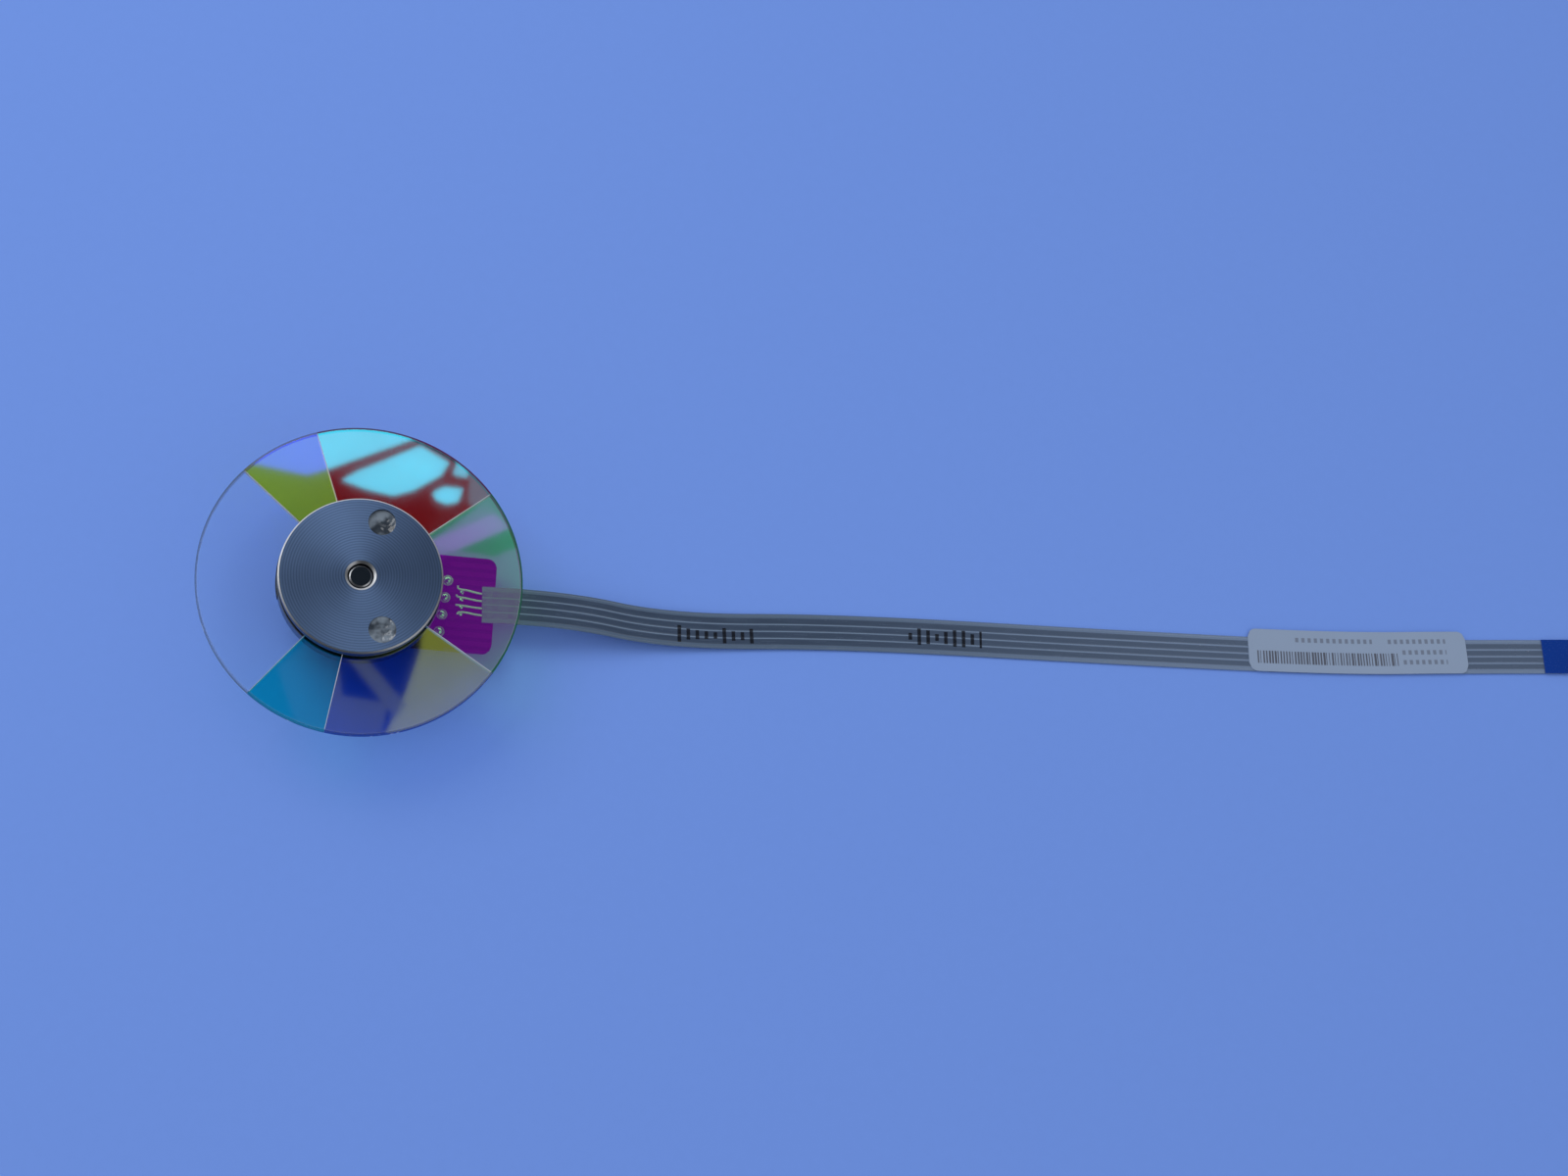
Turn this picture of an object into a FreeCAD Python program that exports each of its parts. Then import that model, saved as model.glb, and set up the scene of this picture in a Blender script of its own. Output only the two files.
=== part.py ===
import FreeCAD
import Part
import Sketcher

import math
import os

Vector = FreeCAD.Vector
doc = FreeCAD.newDocument("color_wheel")
sheet = doc.addObject("Spreadsheet::Sheet", "sizes")
sheet.Label = "sizes"
nodes = []


# A length that keeps its number and its spreadsheet text together
class Size:
    def __init__(self, value, text):
        self.value = value
        self.text = text

    def __add__(self, other):
        other = as_size(other)
        return Size(self.value + other.value, "(%s + %s)" % (self.text, other.text))

    def __sub__(self, other):
        other = as_size(other)
        return Size(self.value - other.value, "(%s - %s)" % (self.text, other.text))

    def __mul__(self, other):
        other = as_size(other)
        return Size(self.value * other.value, "(%s * %s)" % (self.text, other.text))

    def __truediv__(self, other):
        other = as_size(other)
        return Size(self.value / other.value, "(%s / %s)" % (self.text, other.text))

    def __neg__(self):
        return Size(-self.value, "(0 - %s)" % self.text)


def as_size(number):
    if isinstance(number, Size):
        return number
    return Size(float(number), "%.9g" % number if number >= 0 else "(0 - %.9g)" % -number)


def size(name, value):
    row = size.rows + 1
    size.rows = row
    sheet.set("A%d" % row, name)
    sheet.set("B%d" % row, "%.9g" % value)
    sheet.setAlias("B%d" % row, name)
    return Size(float(value), "sizes.%s" % name)


size.rows = 0

# Filter ring
wheel_radius = size("wheel_radius", 21.2)
glass_thick = size("glass_thick", 0.7)
glass_inner_radius = size("glass_inner_radius", 9.0)
glass_joint_gap = size("glass_joint_gap", 0.03)
filter_angles = [
    ("filter_green", size("green_start", -32.0), size("green_sweep", 72.0)),
    ("filter_red", size("red_start", 40.0), size("red_sweep", 70.0)),
    ("filter_yellow", size("yellow_start", 110.0), size("yellow_sweep", 30.0)),
    ("filter_clear", size("clear_start", 140.0), size("clear_sweep", 92.0)),
    ("filter_cyan", size("cyan_start", 232.0), size("cyan_sweep", 30.0)),
    ("filter_blue", size("blue_start", 262.0), size("blue_sweep", 66.0)),
]

# Heights of the stack, from the rear of the boss up
boss_height = size("boss_height", 2.4)
plate_thick = size("plate_thick", 1.0)
board_thick = size("board_thick", 0.8)
cup_clearance = size("cup_clearance", 0.55)
plate_top = boss_height + plate_thick
board_top = plate_top + board_thick
cup_bottom = board_top + cup_clearance
cup_height = size("cup_height", 4.65)
cup_top = cup_bottom + cup_height
cup_roof = size("cup_roof", 0.75)
roof_under = cup_top - cup_roof
lower_glue_thick = size("lower_glue_thick", 0.1)
upper_glue_thick = size("upper_glue_thick", 0.45)
glass_bottom = cup_top + lower_glue_thick
glass_top = glass_bottom + glass_thick
cap_bottom = glass_top + upper_glue_thick
cap_thick = size("cap_thick", 1.05)
cap_top = cap_bottom + cap_thick

# Glue rings, whose widths set how far the cap and the cup reach under and over the glass
lower_glue_width = size("lower_glue_width", 1.65)
upper_glue_width = size("upper_glue_width", 1.6)
glue_step = size("glue_step", 0.1)
upper_glue_step = size("upper_glue_step", 0.1)
cup_radius = glass_inner_radius + lower_glue_width + glue_step
cap_radius = glass_inner_radius + upper_glue_width + upper_glue_step

# Balance cap
cap_edge = size("cap_edge_chamfer", 0.2)
cap_bore_radius = size("cap_bore_radius", 1.72)
cap_bore_chamfer = size("cap_bore_chamfer", 0.32)
pocket_radius = size("pocket_radius", 1.8)
pocket_orbit = size("pocket_orbit_radius", 7.9)
pocket_depth = size("pocket_depth", 0.75)
pocket_angles = [size("upper_pocket_angle", 74.0), size("lower_pocket_angle", -65.0)]
glue_fills = [size("upper_glue_fill", 0.35), size("lower_glue_fill", 0.68)]
glue_dish = size("glue_dish_depth", 0.15)

# Rotor cup, hub and magnet
cup_wall = size("cup_wall", 0.75)
rim_thick = size("rim_thick", 1.8)
rim_step = size("rim_step", 1.35)
cup_wall_radius = cup_radius - rim_step
rim_bottom = cup_top - rim_thick
magnet_thick = size("magnet_thick", 0.7)
magnet_low = size("magnet_low", 0.25)
magnet_height = size("magnet_height", 3.2)
roof_hole_radius = size("roof_hole_radius", 3.4)
hub_flange_clearance = size("hub_flange_clearance", 0.1)
hub_stake_radius = size("hub_stake_radius", 3.9)
hub_stake_thick = size("hub_stake_thick", 0.2)
hub_nose_radius = size("hub_nose_radius", 1.95)
tape_thick = size("tape_thick", 0.12)
tape_start = size("tape_start", 165.0)
tape_sweep = size("tape_sweep", 31.0)
tape_margin = size("tape_margin", 0.1)

# Shaft and bearings
shaft_radius = size("shaft_radius", 1.5)
shaft_chamfer = size("shaft_chamfer", 0.18)
shaft_recess = size("shaft_recess", 0.35)
floor_thick = size("floor_thick", 0.5)
shaft_floor_gap = size("shaft_floor_gap", 0.25)
clip_thick = size("clip_thick", 0.25)
clip_depth = size("clip_groove_depth", 0.2)
clip_radius = size("clip_radius", 1.9)
clip_tail = size("clip_tail", 0.3)
clip_mouth = size("clip_mouth", 1.6)
bearing_width = size("bearing_width", 2.0)
bearing_outer_radius = size("bearing_outer_radius", 3.0)
ring_thick = size("ring_thick", 0.45)
ball_radius = size("ball_radius", 0.4)
ball_clearance = size("ball_clearance", 0.02)
ball_count = 7
shield_thick = size("shield_thick", 0.12)
shield_inner_radius = size("shield_inner_radius", 2.15)
cage_thick = size("cage_thick", 0.36)
cage_width = size("cage_width", 1.1)
cage_play = size("cage_play", 0.02)
clip_low = floor_thick + shaft_floor_gap + clip_tail
lower_bearing_low = clip_low + clip_thick
upper_bearing_high = roof_under - hub_stake_thick - size("hub_nose_height", 0.45)
upper_bearing_low = upper_bearing_high - bearing_width
pitch_radius = (shaft_radius + bearing_outer_radius) / 2
groove_radius = ball_radius + ball_clearance

# Sleeve, base plate and board
sleeve_wall = size("sleeve_wall", 0.6)
sleeve_rim = size("sleeve_rim", 0.2)
sleeve_step_radius = size("sleeve_step_radius", 4.1)
boss_radius = size("boss_radius", 4.5)
boss_chamfer = size("boss_chamfer", 0.3)
plate_step = size("plate_step", 0.75)
plate_radius = cup_wall_radius - plate_step
screw_orbit = size("screw_orbit_radius", 7.0)
screw_tap_radius = size("screw_tap_radius", 0.8)
screw_clear_radius = size("screw_clear_radius", 1.2)
screw_count = 3
board_step = size("board_step", 0.4)
board_radius = cup_wall_radius - board_step
board_hole_clearance = size("board_hole_clearance", 0.15)
tab_length = size("tab_length", 9.05)
tab_reach = board_radius + tab_length
tab_width = size("tab_width", 13.2)
tab_corner = size("tab_corner", 1.3)

# Stator
tooth_count = 9
core_air_gap = size("core_air_gap", 0.3)
core_thick = size("core_thick", 2.0)
core_low = size("core_low", 1.4)
yoke_radius = size("yoke_radius", 4.4)
tooth_width = size("tooth_width", 1.1)
tip_depth = size("tip_depth", 0.9)
tip_sweep = size("tip_sweep", 34.0)
insulator_thick = size("insulator_thick", 0.3)
insulator_margin = size("insulator_margin", 0.12)
coil_build = size("coil_build", 0.5)
coil_side = size("coil_side", 0.8)
coil_round = size("coil_round", 0.3)
coil_end_gap = size("coil_end_gap", 0.1)
core_bottom = board_top + core_low
core_top = core_bottom + core_thick

# Solder, leads and the board end of the cable
lead_radius = size("lead_radius", 0.09)
lead_start = size("lead_start_radius", 6.0)
joint_row = cup_radius + size("joint_clearance", 0.58)
joint_lean = size("joint_lean", 0.22)
joint_shift = size("joint_shift", -0.55)
joint_pitch = size("joint_pitch", 2.42)
joint_radius = size("joint_radius", 0.58)
joint_height = size("joint_height", 0.4)
lead_angles = [size("lead_angle_%s" % word, value) for word, value in
               (("one", -42.0), ("two", -33.0), ("three", -2.0), ("four", 8.0))]
conductor_count = 4
tail_length = size("tail_length", 3.1)
tail_thick = size("tail_thick", 0.1)
tail_width = size("tail_width", 0.4)
tail_pitch = size("tail_pitch", 1.0)
tail_joint_length = size("tail_joint_length", 0.55)
tail_joint_rise = size("tail_joint_rise", 0.1)
cable_seat = size("cable_seat", 1.6)
cable_start = tab_reach - cable_seat
tail_start = cable_start - tail_length
cable_width = size("cable_width", 5.0)
cable_thick = size("cable_thick", 0.3)
film_thick = size("film_thick", 0.15)
board_film_length = size("board_film_length", 5.0)
end_film_length = size("end_film_length", 6.0)
contact_length = size("contact_length", 3.6)
contact_thick = size("contact_thick", 0.1)
contact_width = size("contact_width", 0.7)
cable_reach = size("cable_reach", 153.6)
label_start = cable_start + cable_reach * size("label_share", 0.7005)
label_length = size("label_length", 32.4)
label_width = size("label_width", 6.2)
label_offset = size("label_offset", 0.6)
label_thick = size("label_thick", 0.1)
label_corner = size("label_corner", 1.2)
doc.recompute()


def keep(shape_object, name):
    shape_object.Label = name
    nodes.append((name, shape_object))
    return shape_object


def origin_plane(body, role):
    for feature in body.Origin.OriginFeatures:
        if feature.Role == role:
            return feature
    raise ValueError("no origin feature with role " + role)


def new_body(name):
    body = doc.addObject("PartDesign::Body", name + "_body")
    return keep(body, name)


def new_sketch(body, name, role):
    sketch = body.newObject("Sketcher::SketchObject", name)
    sketch.AttachmentSupport = [(origin_plane(body, role), "")]
    sketch.MapMode = "FlatFace"
    return sketch


def bind(sketch, kind, geometry, point, length):
    length = as_size(length)
    if abs(length.value) < 1e-9 and length.text in ("0", "(0 - 0)"):
        axis = -2 if kind == "DistanceX" else -1
        sketch.addConstraint(Sketcher.Constraint("PointOnObject", geometry, point, axis))
        return
    index = sketch.addConstraint(Sketcher.Constraint(kind, -1, 1, geometry, point, length.value))
    sketch.setExpression("Constraints[%d]" % index, length.text)


def closed_outline(sketch, points):
    count = len(points)
    places = [Vector(as_size(across).value, as_size(up).value, 0) for across, up in points]
    for index in range(count):
        sketch.addGeometry(Part.LineSegment(places[index], places[(index + 1) % count]), False)
    for index in range(count):
        following = (index + 1) % count
        sketch.addConstraint(Sketcher.Constraint("Coincident", index, 2, following, 1))
    for index, (across, up) in enumerate(points):
        bind(sketch, "DistanceX", index, 1, across)
        bind(sketch, "DistanceY", index, 1, up)


def circle_outline(sketch, across, up, radius):
    across, up, radius = as_size(across), as_size(up), as_size(radius)
    centre = Vector(across.value, up.value, 0)
    ring = sketch.addGeometry(Part.Circle(centre, Vector(0, 0, 1), radius.value), False)
    bind(sketch, "DistanceX", ring, 3, across)
    bind(sketch, "DistanceY", ring, 3, up)
    index = sketch.addConstraint(Sketcher.Constraint("Radius", ring, radius.value))
    sketch.setExpression("Constraints[%d]" % index, radius.text)


def revolve(body, name, points, sweep=None):
    sketch = new_sketch(body, name + "_outline", "XZ_Plane")
    closed_outline(sketch, points)
    feature = body.newObject("PartDesign::Revolution", name)
    feature.Profile = sketch
    feature.ReferenceAxis = (sketch, ["V_Axis"])
    feature.Angle = 360.0 if sweep is None else sweep.value
    if sweep is not None:
        feature.Midplane = True
        feature.setExpression("Angle", sweep.text)
    return feature


def turned(name, points):
    body = new_body(name)
    revolve(body, name + "_turning", points)
    return body


def tube_outline(inner, outer, low, high):
    return [(inner, low), (outer, low), (outer, high), (inner, high)]


def pocket_through(body, name, low, depth, circles):
    sketch = new_sketch(body, name + "_outline", "XY_Plane")
    for across, up, radius in circles:
        circle_outline(sketch, across, up, radius)
    sketch.setExpression("AttachmentOffset.Base.z", low.text)
    feature = body.newObject("PartDesign::Pocket", name)
    feature.Profile = sketch
    feature.Reversed = True
    feature.Length = depth.value
    feature.setExpression("Length", depth.text)
    return feature


def polar(body, name, originals, count):
    feature = body.newObject("PartDesign::PolarPattern", name)
    feature.Originals = originals
    feature.Axis = (origin_plane(body, "Z_Axis"), [""])
    feature.Angle = 360.0
    feature.Occurrences = count
    body.Tip = feature
    return feature


def place(feature, across, along, up):
    for letter, length in (("x", across), ("y", along), ("z", up)):
        length = as_size(length)
        feature.setExpression("Placement.Base.%s" % letter, length.text)


def spin(feature, degrees):
    rotation = FreeCAD.Rotation(Vector(0, 0, 1), as_size(degrees).value)
    feature.Placement = FreeCAD.Placement(feature.Placement.Base, rotation)
    feature.setExpression("Placement.Rotation.Angle", as_size(degrees).text)


def tube(name, inner, outer, low, high, start=None, sweep=None):
    shells = []
    for word, radius, spare in (("outside", outer, 0.0), ("inside", inner, 1.0)):
        shell = doc.addObject("Part::Cylinder", "%s_%s" % (name, word))
        shell.setExpression("Radius", radius.text)
        shell.setExpression("Height", (high - low + 2 * spare).text)
        place(shell, 0, 0, low - spare)
        shells.append(shell)
    if sweep is not None:
        shells[0].setExpression("Angle", sweep.text)
        spin(shells[0], start)
    cut = doc.addObject("Part::Cut", name + "_tube")
    cut.Base, cut.Tool = shells
    return cut


def box(name, long, wide, high, middle_x, middle_y, low):
    feature = doc.addObject("Part::Box", name)
    feature.setExpression("Length", as_size(long).text)
    feature.setExpression("Width", as_size(wide).text)
    feature.setExpression("Height", as_size(high).text)
    place(feature, as_size(middle_x) - as_size(long) / 2, as_size(middle_y) - as_size(wide) / 2, low)
    return feature


def compound(name, members):
    group = doc.addObject("Part::Compound", name + "_group")
    group.Links = members
    return keep(group, name)


def orbit(radius, degrees):
    turn = math.radians(degrees)
    return radius * math.cos(turn), radius * math.sin(turn)


# Base plate with its rear boss, sleeve bore and tapped holes
sleeve_outer = bearing_outer_radius + sleeve_wall
base = turned("base_plate", [
    (0, 0),
    (boss_radius - boss_chamfer, 0),
    (boss_radius, boss_chamfer),
    (boss_radius, boss_height),
    (plate_radius, boss_height),
    (plate_radius, plate_top),
    (sleeve_outer, plate_top),
    (sleeve_outer, floor_thick),
    (0, floor_thick),
])
tapped = pocket_through(base, "tapped_hole", boss_height, plate_thick,
                        [(0, screw_orbit, screw_tap_radius)])
polar(base, "tapped_holes", [tapped], screw_count)

# Circuit board: a disc with a tab, a middle hole and screw clearance holes
board = new_body("circuit_board")
board_disc = new_sketch(board, "board_disc_outline", "XY_Plane")
circle_outline(board_disc, 0, 0, board_radius)
board_disc.setExpression("AttachmentOffset.Base.z", plate_top.text)
disc_pad = board.newObject("PartDesign::Pad", "board_disc")
disc_pad.Profile = board_disc
disc_pad.setExpression("Length", board_thick.text)
tab_outline = new_sketch(board, "board_tab_outline", "XY_Plane")
half_tab = tab_width / 2
closed_outline(tab_outline, [(0, -half_tab), (tab_reach, -half_tab), (tab_reach, half_tab), (0, half_tab)])
tab_outline.setExpression("AttachmentOffset.Base.z", plate_top.text)
tab_pad = board.newObject("PartDesign::Pad", "board_tab")
tab_pad.Profile = tab_outline
tab_pad.setExpression("Length", board_thick.text)
doc.recompute()
corner_edges = []
for number, edge in enumerate(tab_pad.Shape.Edges, 1):
    ends = [vertex.Point for vertex in edge.Vertexes]
    upright = len(ends) == 2 and abs(ends[0].z - ends[1].z) > board_thick.value / 2
    if upright and min(point.x for point in ends) > tab_reach.value - 0.01:
        corner_edges.append("Edge%d" % number)
tab_round = board.newObject("PartDesign::Fillet", "board_tab_corners")
tab_round.Base = (tab_pad, corner_edges)
tab_round.setExpression("Radius", tab_corner.text)
pocket_through(board, "board_middle_hole", plate_top, board_thick,
               [(0, 0, sleeve_step_radius + board_hole_clearance)])
board_hole = pocket_through(board, "board_screw_hole", plate_top, board_thick,
                            [(0, screw_orbit, screw_clear_radius)])
polar(board, "board_screw_holes", [board_hole], screw_count)

# Sleeve that carries the bearings and the stator core
insulator_low = core_bottom - insulator_thick
sleeve_top = upper_bearing_high + shield_thick + sleeve_rim - 0.12
turned("bearing_sleeve", [
    (bearing_outer_radius, floor_thick),
    (sleeve_outer, floor_thick),
    (sleeve_outer, plate_top),
    (sleeve_step_radius, plate_top),
    (sleeve_step_radius, insulator_low),
    (sleeve_outer, insulator_low),
    (sleeve_outer, sleeve_top),
    (bearing_outer_radius, sleeve_top),
])


def ball_bearing(place_name, low):
    middle = low + bearing_width / 2
    high = low + bearing_width
    inner_outside = shaft_radius + ring_thick
    outer_inside = bearing_outer_radius - ring_thick
    rings = (
        ("%s_bearing_inner_ring" % place_name, shaft_radius, inner_outside),
        ("%s_bearing_outer_ring" % place_name, outer_inside, bearing_outer_radius),
    )
    for name, inner, outer in rings:
        body = turned(name, tube_outline(inner, outer, low, high))
        race = new_sketch(body, name + "_race_outline", "XZ_Plane")
        circle_outline(race, pitch_radius, middle, groove_radius)
        groove = body.newObject("PartDesign::Groove", name + "_race")
        groove.Profile = race
        groove.ReferenceAxis = (race, ["V_Axis"])
        groove.Angle = 360.0
        body.Tip = groove
    balls = []
    pockets = []
    for index in range(ball_count):
        degrees = 360.0 * index / ball_count
        across, along = orbit(pitch_radius, degrees)
        ball = doc.addObject("Part::Sphere", "%s_ball_%d" % (place_name, index + 1))
        ball.setExpression("Radius", ball_radius.text)
        place(ball, across, along, middle)
        balls.append(ball)
        drill = doc.addObject("Part::Cylinder", "%s_ball_pocket_%d" % (place_name, index + 1))
        drill.setExpression("Radius", (ball_radius + cage_play).text)
        drill.setExpression("Height", (cage_thick * 3).text)
        across, along = orbit(pitch_radius - cage_thick * 1.5, degrees)
        outward = Vector(math.cos(math.radians(degrees)), math.sin(math.radians(degrees)), 0)
        drill.Placement = FreeCAD.Placement(Vector(0, 0, 0), FreeCAD.Rotation(Vector(0, 0, 1), outward))
        place(drill, across, along, middle)
        pockets.append(drill)
    compound("%s_bearing_balls" % place_name, balls)
    cage_ring = tube("%s_cage" % place_name, pitch_radius - cage_thick / 2, pitch_radius + cage_thick / 2,
                     middle - cage_width / 2, middle + cage_width / 2)
    drilled = doc.addObject("Part::MultiFuse", "%s_cage_pockets" % place_name)
    drilled.Shapes = pockets
    cage = doc.addObject("Part::Cut", "%s_cage_body" % place_name)
    cage.Base = cage_ring
    cage.Tool = drilled
    keep(cage, "%s_bearing_cage" % place_name)


# Ball bearings, their shields and the spring that preloads them
ball_bearing("lower", lower_bearing_low)
ball_bearing("upper", upper_bearing_low)
lower_shield = tube("lower_shield", shield_inner_radius, bearing_outer_radius,
                    lower_bearing_low - shield_thick, lower_bearing_low)
upper_shield = tube("upper_shield", shield_inner_radius, bearing_outer_radius,
                    upper_bearing_high, upper_bearing_high + shield_thick)
compound("bearing_shields", [lower_shield, upper_shield])

spring_wire = size("spring_wire_radius", 0.16)
spring_turns = size("spring_turns", 3.7)
spring_fit = size("spring_fit", 0.05)
spring_low = lower_bearing_low + bearing_width
spring_high = upper_bearing_low
spring_radius = bearing_outer_radius - spring_fit - spring_wire
doc.recompute()
coil_path = doc.addObject("Part::Helix", "spring_path")
coil_path.setExpression("Radius", spring_radius.text)
coil_path.setExpression("Height", (spring_high - spring_low).text)
coil_path.setExpression("Pitch", ((spring_high - spring_low) / spring_turns).text)
place(coil_path, 0, 0, spring_low)
wire_circle = doc.addObject("Part::Circle", "spring_wire_section")
wire_circle.setExpression("Radius", spring_wire.text)
wire_circle.Placement = FreeCAD.Placement(Vector(0, 0, 0), FreeCAD.Rotation(Vector(1, 0, 0), 90))
place(wire_circle, spring_radius, 0, spring_low)
doc.recompute()
spring_sweep = doc.addObject("Part::Sweep", "spring_sweep")
spring_sweep.Sections = [wire_circle]
spring_sweep.Spine = (coil_path, ["Edge1"])
spring_sweep.Solid = True
spring_sweep.Frenet = True
spring_ends = []
for word, low in (("lower", spring_low - spring_wire * 4), ("upper", spring_high)):
    spring_ends.append(box("spring_%s_end" % word, bearing_outer_radius * 3, bearing_outer_radius * 3,
                           spring_wire * 4, 0, 0, low))
spring = spring_sweep
for word, end_box in zip(("lower", "upper"), spring_ends):
    ground = doc.addObject("Part::Cut", "spring_%s_ground" % word)
    ground.Base = spring
    ground.Tool = end_box
    spring = ground
keep(spring, "preload_spring")

# Shaft with its clip groove
shaft_low = floor_thick + shaft_floor_gap
shaft_high = cap_top - shaft_recess
clip_bottom_radius = shaft_radius - clip_depth
turned("shaft", [
    (0, shaft_low),
    (shaft_radius - shaft_chamfer, shaft_low),
    (shaft_radius, shaft_low + shaft_chamfer),
    (shaft_radius, clip_low),
    (clip_bottom_radius, clip_low),
    (clip_bottom_radius, clip_low + clip_thick),
    (shaft_radius, clip_low + clip_thick),
    (shaft_radius, shaft_high - shaft_chamfer),
    (shaft_radius - shaft_chamfer, shaft_high),
    (0, shaft_high),
])
clip_ring = tube("clip", clip_bottom_radius, clip_radius, clip_low, clip_low + clip_thick)
clip_opening = box("clip_opening", clip_radius * 2, clip_mouth, clip_thick * 3,
                   clip_radius, 0, clip_low - clip_thick)
clip = doc.addObject("Part::Cut", "clip_body")
clip.Base = clip_ring
clip.Tool = clip_opening
keep(clip, "retaining_clip")

# Rotor cup, hub, magnet and index tape
cup_inner = cup_wall_radius - cup_wall
cup = turned("rotor_cup", [
    (roof_hole_radius, roof_under),
    (cup_inner, roof_under),
    (cup_inner, cup_bottom),
    (cup_wall_radius, cup_bottom),
    (cup_wall_radius, rim_bottom),
    (cup_radius, rim_bottom),
    (cup_radius, cup_top),
    (roof_hole_radius, cup_top),
])
doc.recompute()
cup_turning = cup.Tip
shoulder = []
for number, edge in enumerate(cup_turning.Shape.Edges, 1):
    is_round = hasattr(edge.Curve, "Radius")
    if is_round and abs(edge.Curve.Radius - cup_wall_radius.value) < 1e-6:
        if abs(edge.BoundBox.ZMax - cup_bottom.value) < 1e-6:
            shoulder.append("Edge%d" % number)
cup_round = cup.newObject("PartDesign::Chamfer", "rotor_cup_edge")
cup_round.Base = (cup_turning, shoulder)
cup_round.Size = 0.15
turned("rotor_hub", [
    (shaft_radius, upper_bearing_high),
    (hub_nose_radius, upper_bearing_high),
    (hub_nose_radius, roof_under - hub_stake_thick),
    (hub_stake_radius, roof_under - hub_stake_thick),
    (hub_stake_radius, roof_under),
    (roof_hole_radius, roof_under),
    (roof_hole_radius, cup_top),
    (glass_inner_radius - hub_flange_clearance, cup_top),
    (glass_inner_radius - hub_flange_clearance, cap_bottom),
    (shaft_radius, cap_bottom),
])
magnet_bottom = cup_bottom + magnet_low
turned("ring_magnet", tube_outline(cup_inner - magnet_thick, cup_inner,
                                   magnet_bottom, magnet_bottom + magnet_height))
keep(tube("index_tape", cup_radius, cup_radius + tape_thick, rim_bottom + tape_margin,
          cup_top - tape_margin, tape_start, tape_sweep), "index_tape")

# Filter segments between their two glue rings
for name, start, sweep in filter_angles:
    half_gap = glass_joint_gap / wheel_radius * 57.29578 / 2
    keep(tube(name, glass_inner_radius, wheel_radius, glass_bottom, glass_top,
              start + half_gap, sweep - half_gap * 2), name)
turned("lower_adhesive_ring",
       tube_outline(glass_inner_radius, cup_radius - glue_step, cup_top, glass_bottom))
turned("upper_adhesive_ring",
       tube_outline(glass_inner_radius, cap_radius - upper_glue_step, glass_top, cap_bottom))

# Balance cap with its two pockets, each part filled with clear glue
cap = turned("balance_cap", [
    (cap_bore_radius, cap_bottom),
    (cap_radius, cap_bottom),
    (cap_radius, cap_top - cap_edge),
    (cap_radius - cap_edge, cap_top),
    (cap_bore_radius + cap_bore_chamfer, cap_top),
    (cap_bore_radius, cap_top - cap_bore_chamfer),
])
pocket_floor = cap_top - pocket_depth
pocket_places = [orbit(pocket_orbit, angle.value) for angle in pocket_angles]
pocket_through(cap, "balance_pockets", pocket_floor, pocket_depth,
               [(across, along, pocket_radius) for across, along in pocket_places])
for word, (across, along), fill in zip(("upper", "lower"), pocket_places, glue_fills):
    plug = doc.addObject("Part::Cylinder", "%s_glue_plug" % word)
    plug.setExpression("Radius", pocket_radius.text)
    plug.setExpression("Height", fill.text)
    place(plug, across, along, pocket_floor)
    dish_radius = (pocket_radius * pocket_radius + glue_dish * glue_dish) / (glue_dish * 2)
    dish = doc.addObject("Part::Sphere", "%s_glue_dish" % word)
    dish.setExpression("Radius", dish_radius.text)
    place(dish, across, along, pocket_floor + fill - glue_dish + dish_radius)
    glue = doc.addObject("Part::Cut", "%s_glue_body" % word)
    glue.Base = plug
    glue.Tool = dish
    keep(glue, "balance_glue_%s" % word)


def toothed(name, low, high, margin, reach, tips):
    body = new_body(name)
    revolve(body, name + "_yoke", tube_outline(sleeve_outer, yoke_radius + margin, low, high))
    outline = new_sketch(body, name + "_tooth_outline", "XY_Plane")
    half = tooth_width / 2 + margin
    root = (sleeve_outer + yoke_radius) / 2
    closed_outline(outline, [(root, -half), (reach, -half), (reach, half), (root, half)])
    outline.setExpression("AttachmentOffset.Base.z", low.text)
    tooth = body.newObject("PartDesign::Pad", name + "_tooth")
    tooth.Profile = outline
    tooth.setExpression("Length", (high - low).text)
    originals = [tooth]
    if tips:
        tip_inner = reach - tip_depth
        tip = tube_outline(tip_inner, reach + margin, low, high)
        originals.append(revolve(body, name + "_tip", tip, tip_sweep))
    polar(body, name + "_teeth", originals, tooth_count)
    return body


# Stator core, its insulators and nine coils
core_radius = cup_inner - magnet_thick - core_air_gap
toothed("stator_core", core_bottom, core_top, as_size(0), core_radius, True)
tooth_end = core_radius - tip_depth
toothed("insulator_lower", insulator_low, core_bottom, insulator_margin, tooth_end, False)
toothed("insulator_upper", core_top, core_top + insulator_thick, insulator_margin, tooth_end, False)

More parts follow.
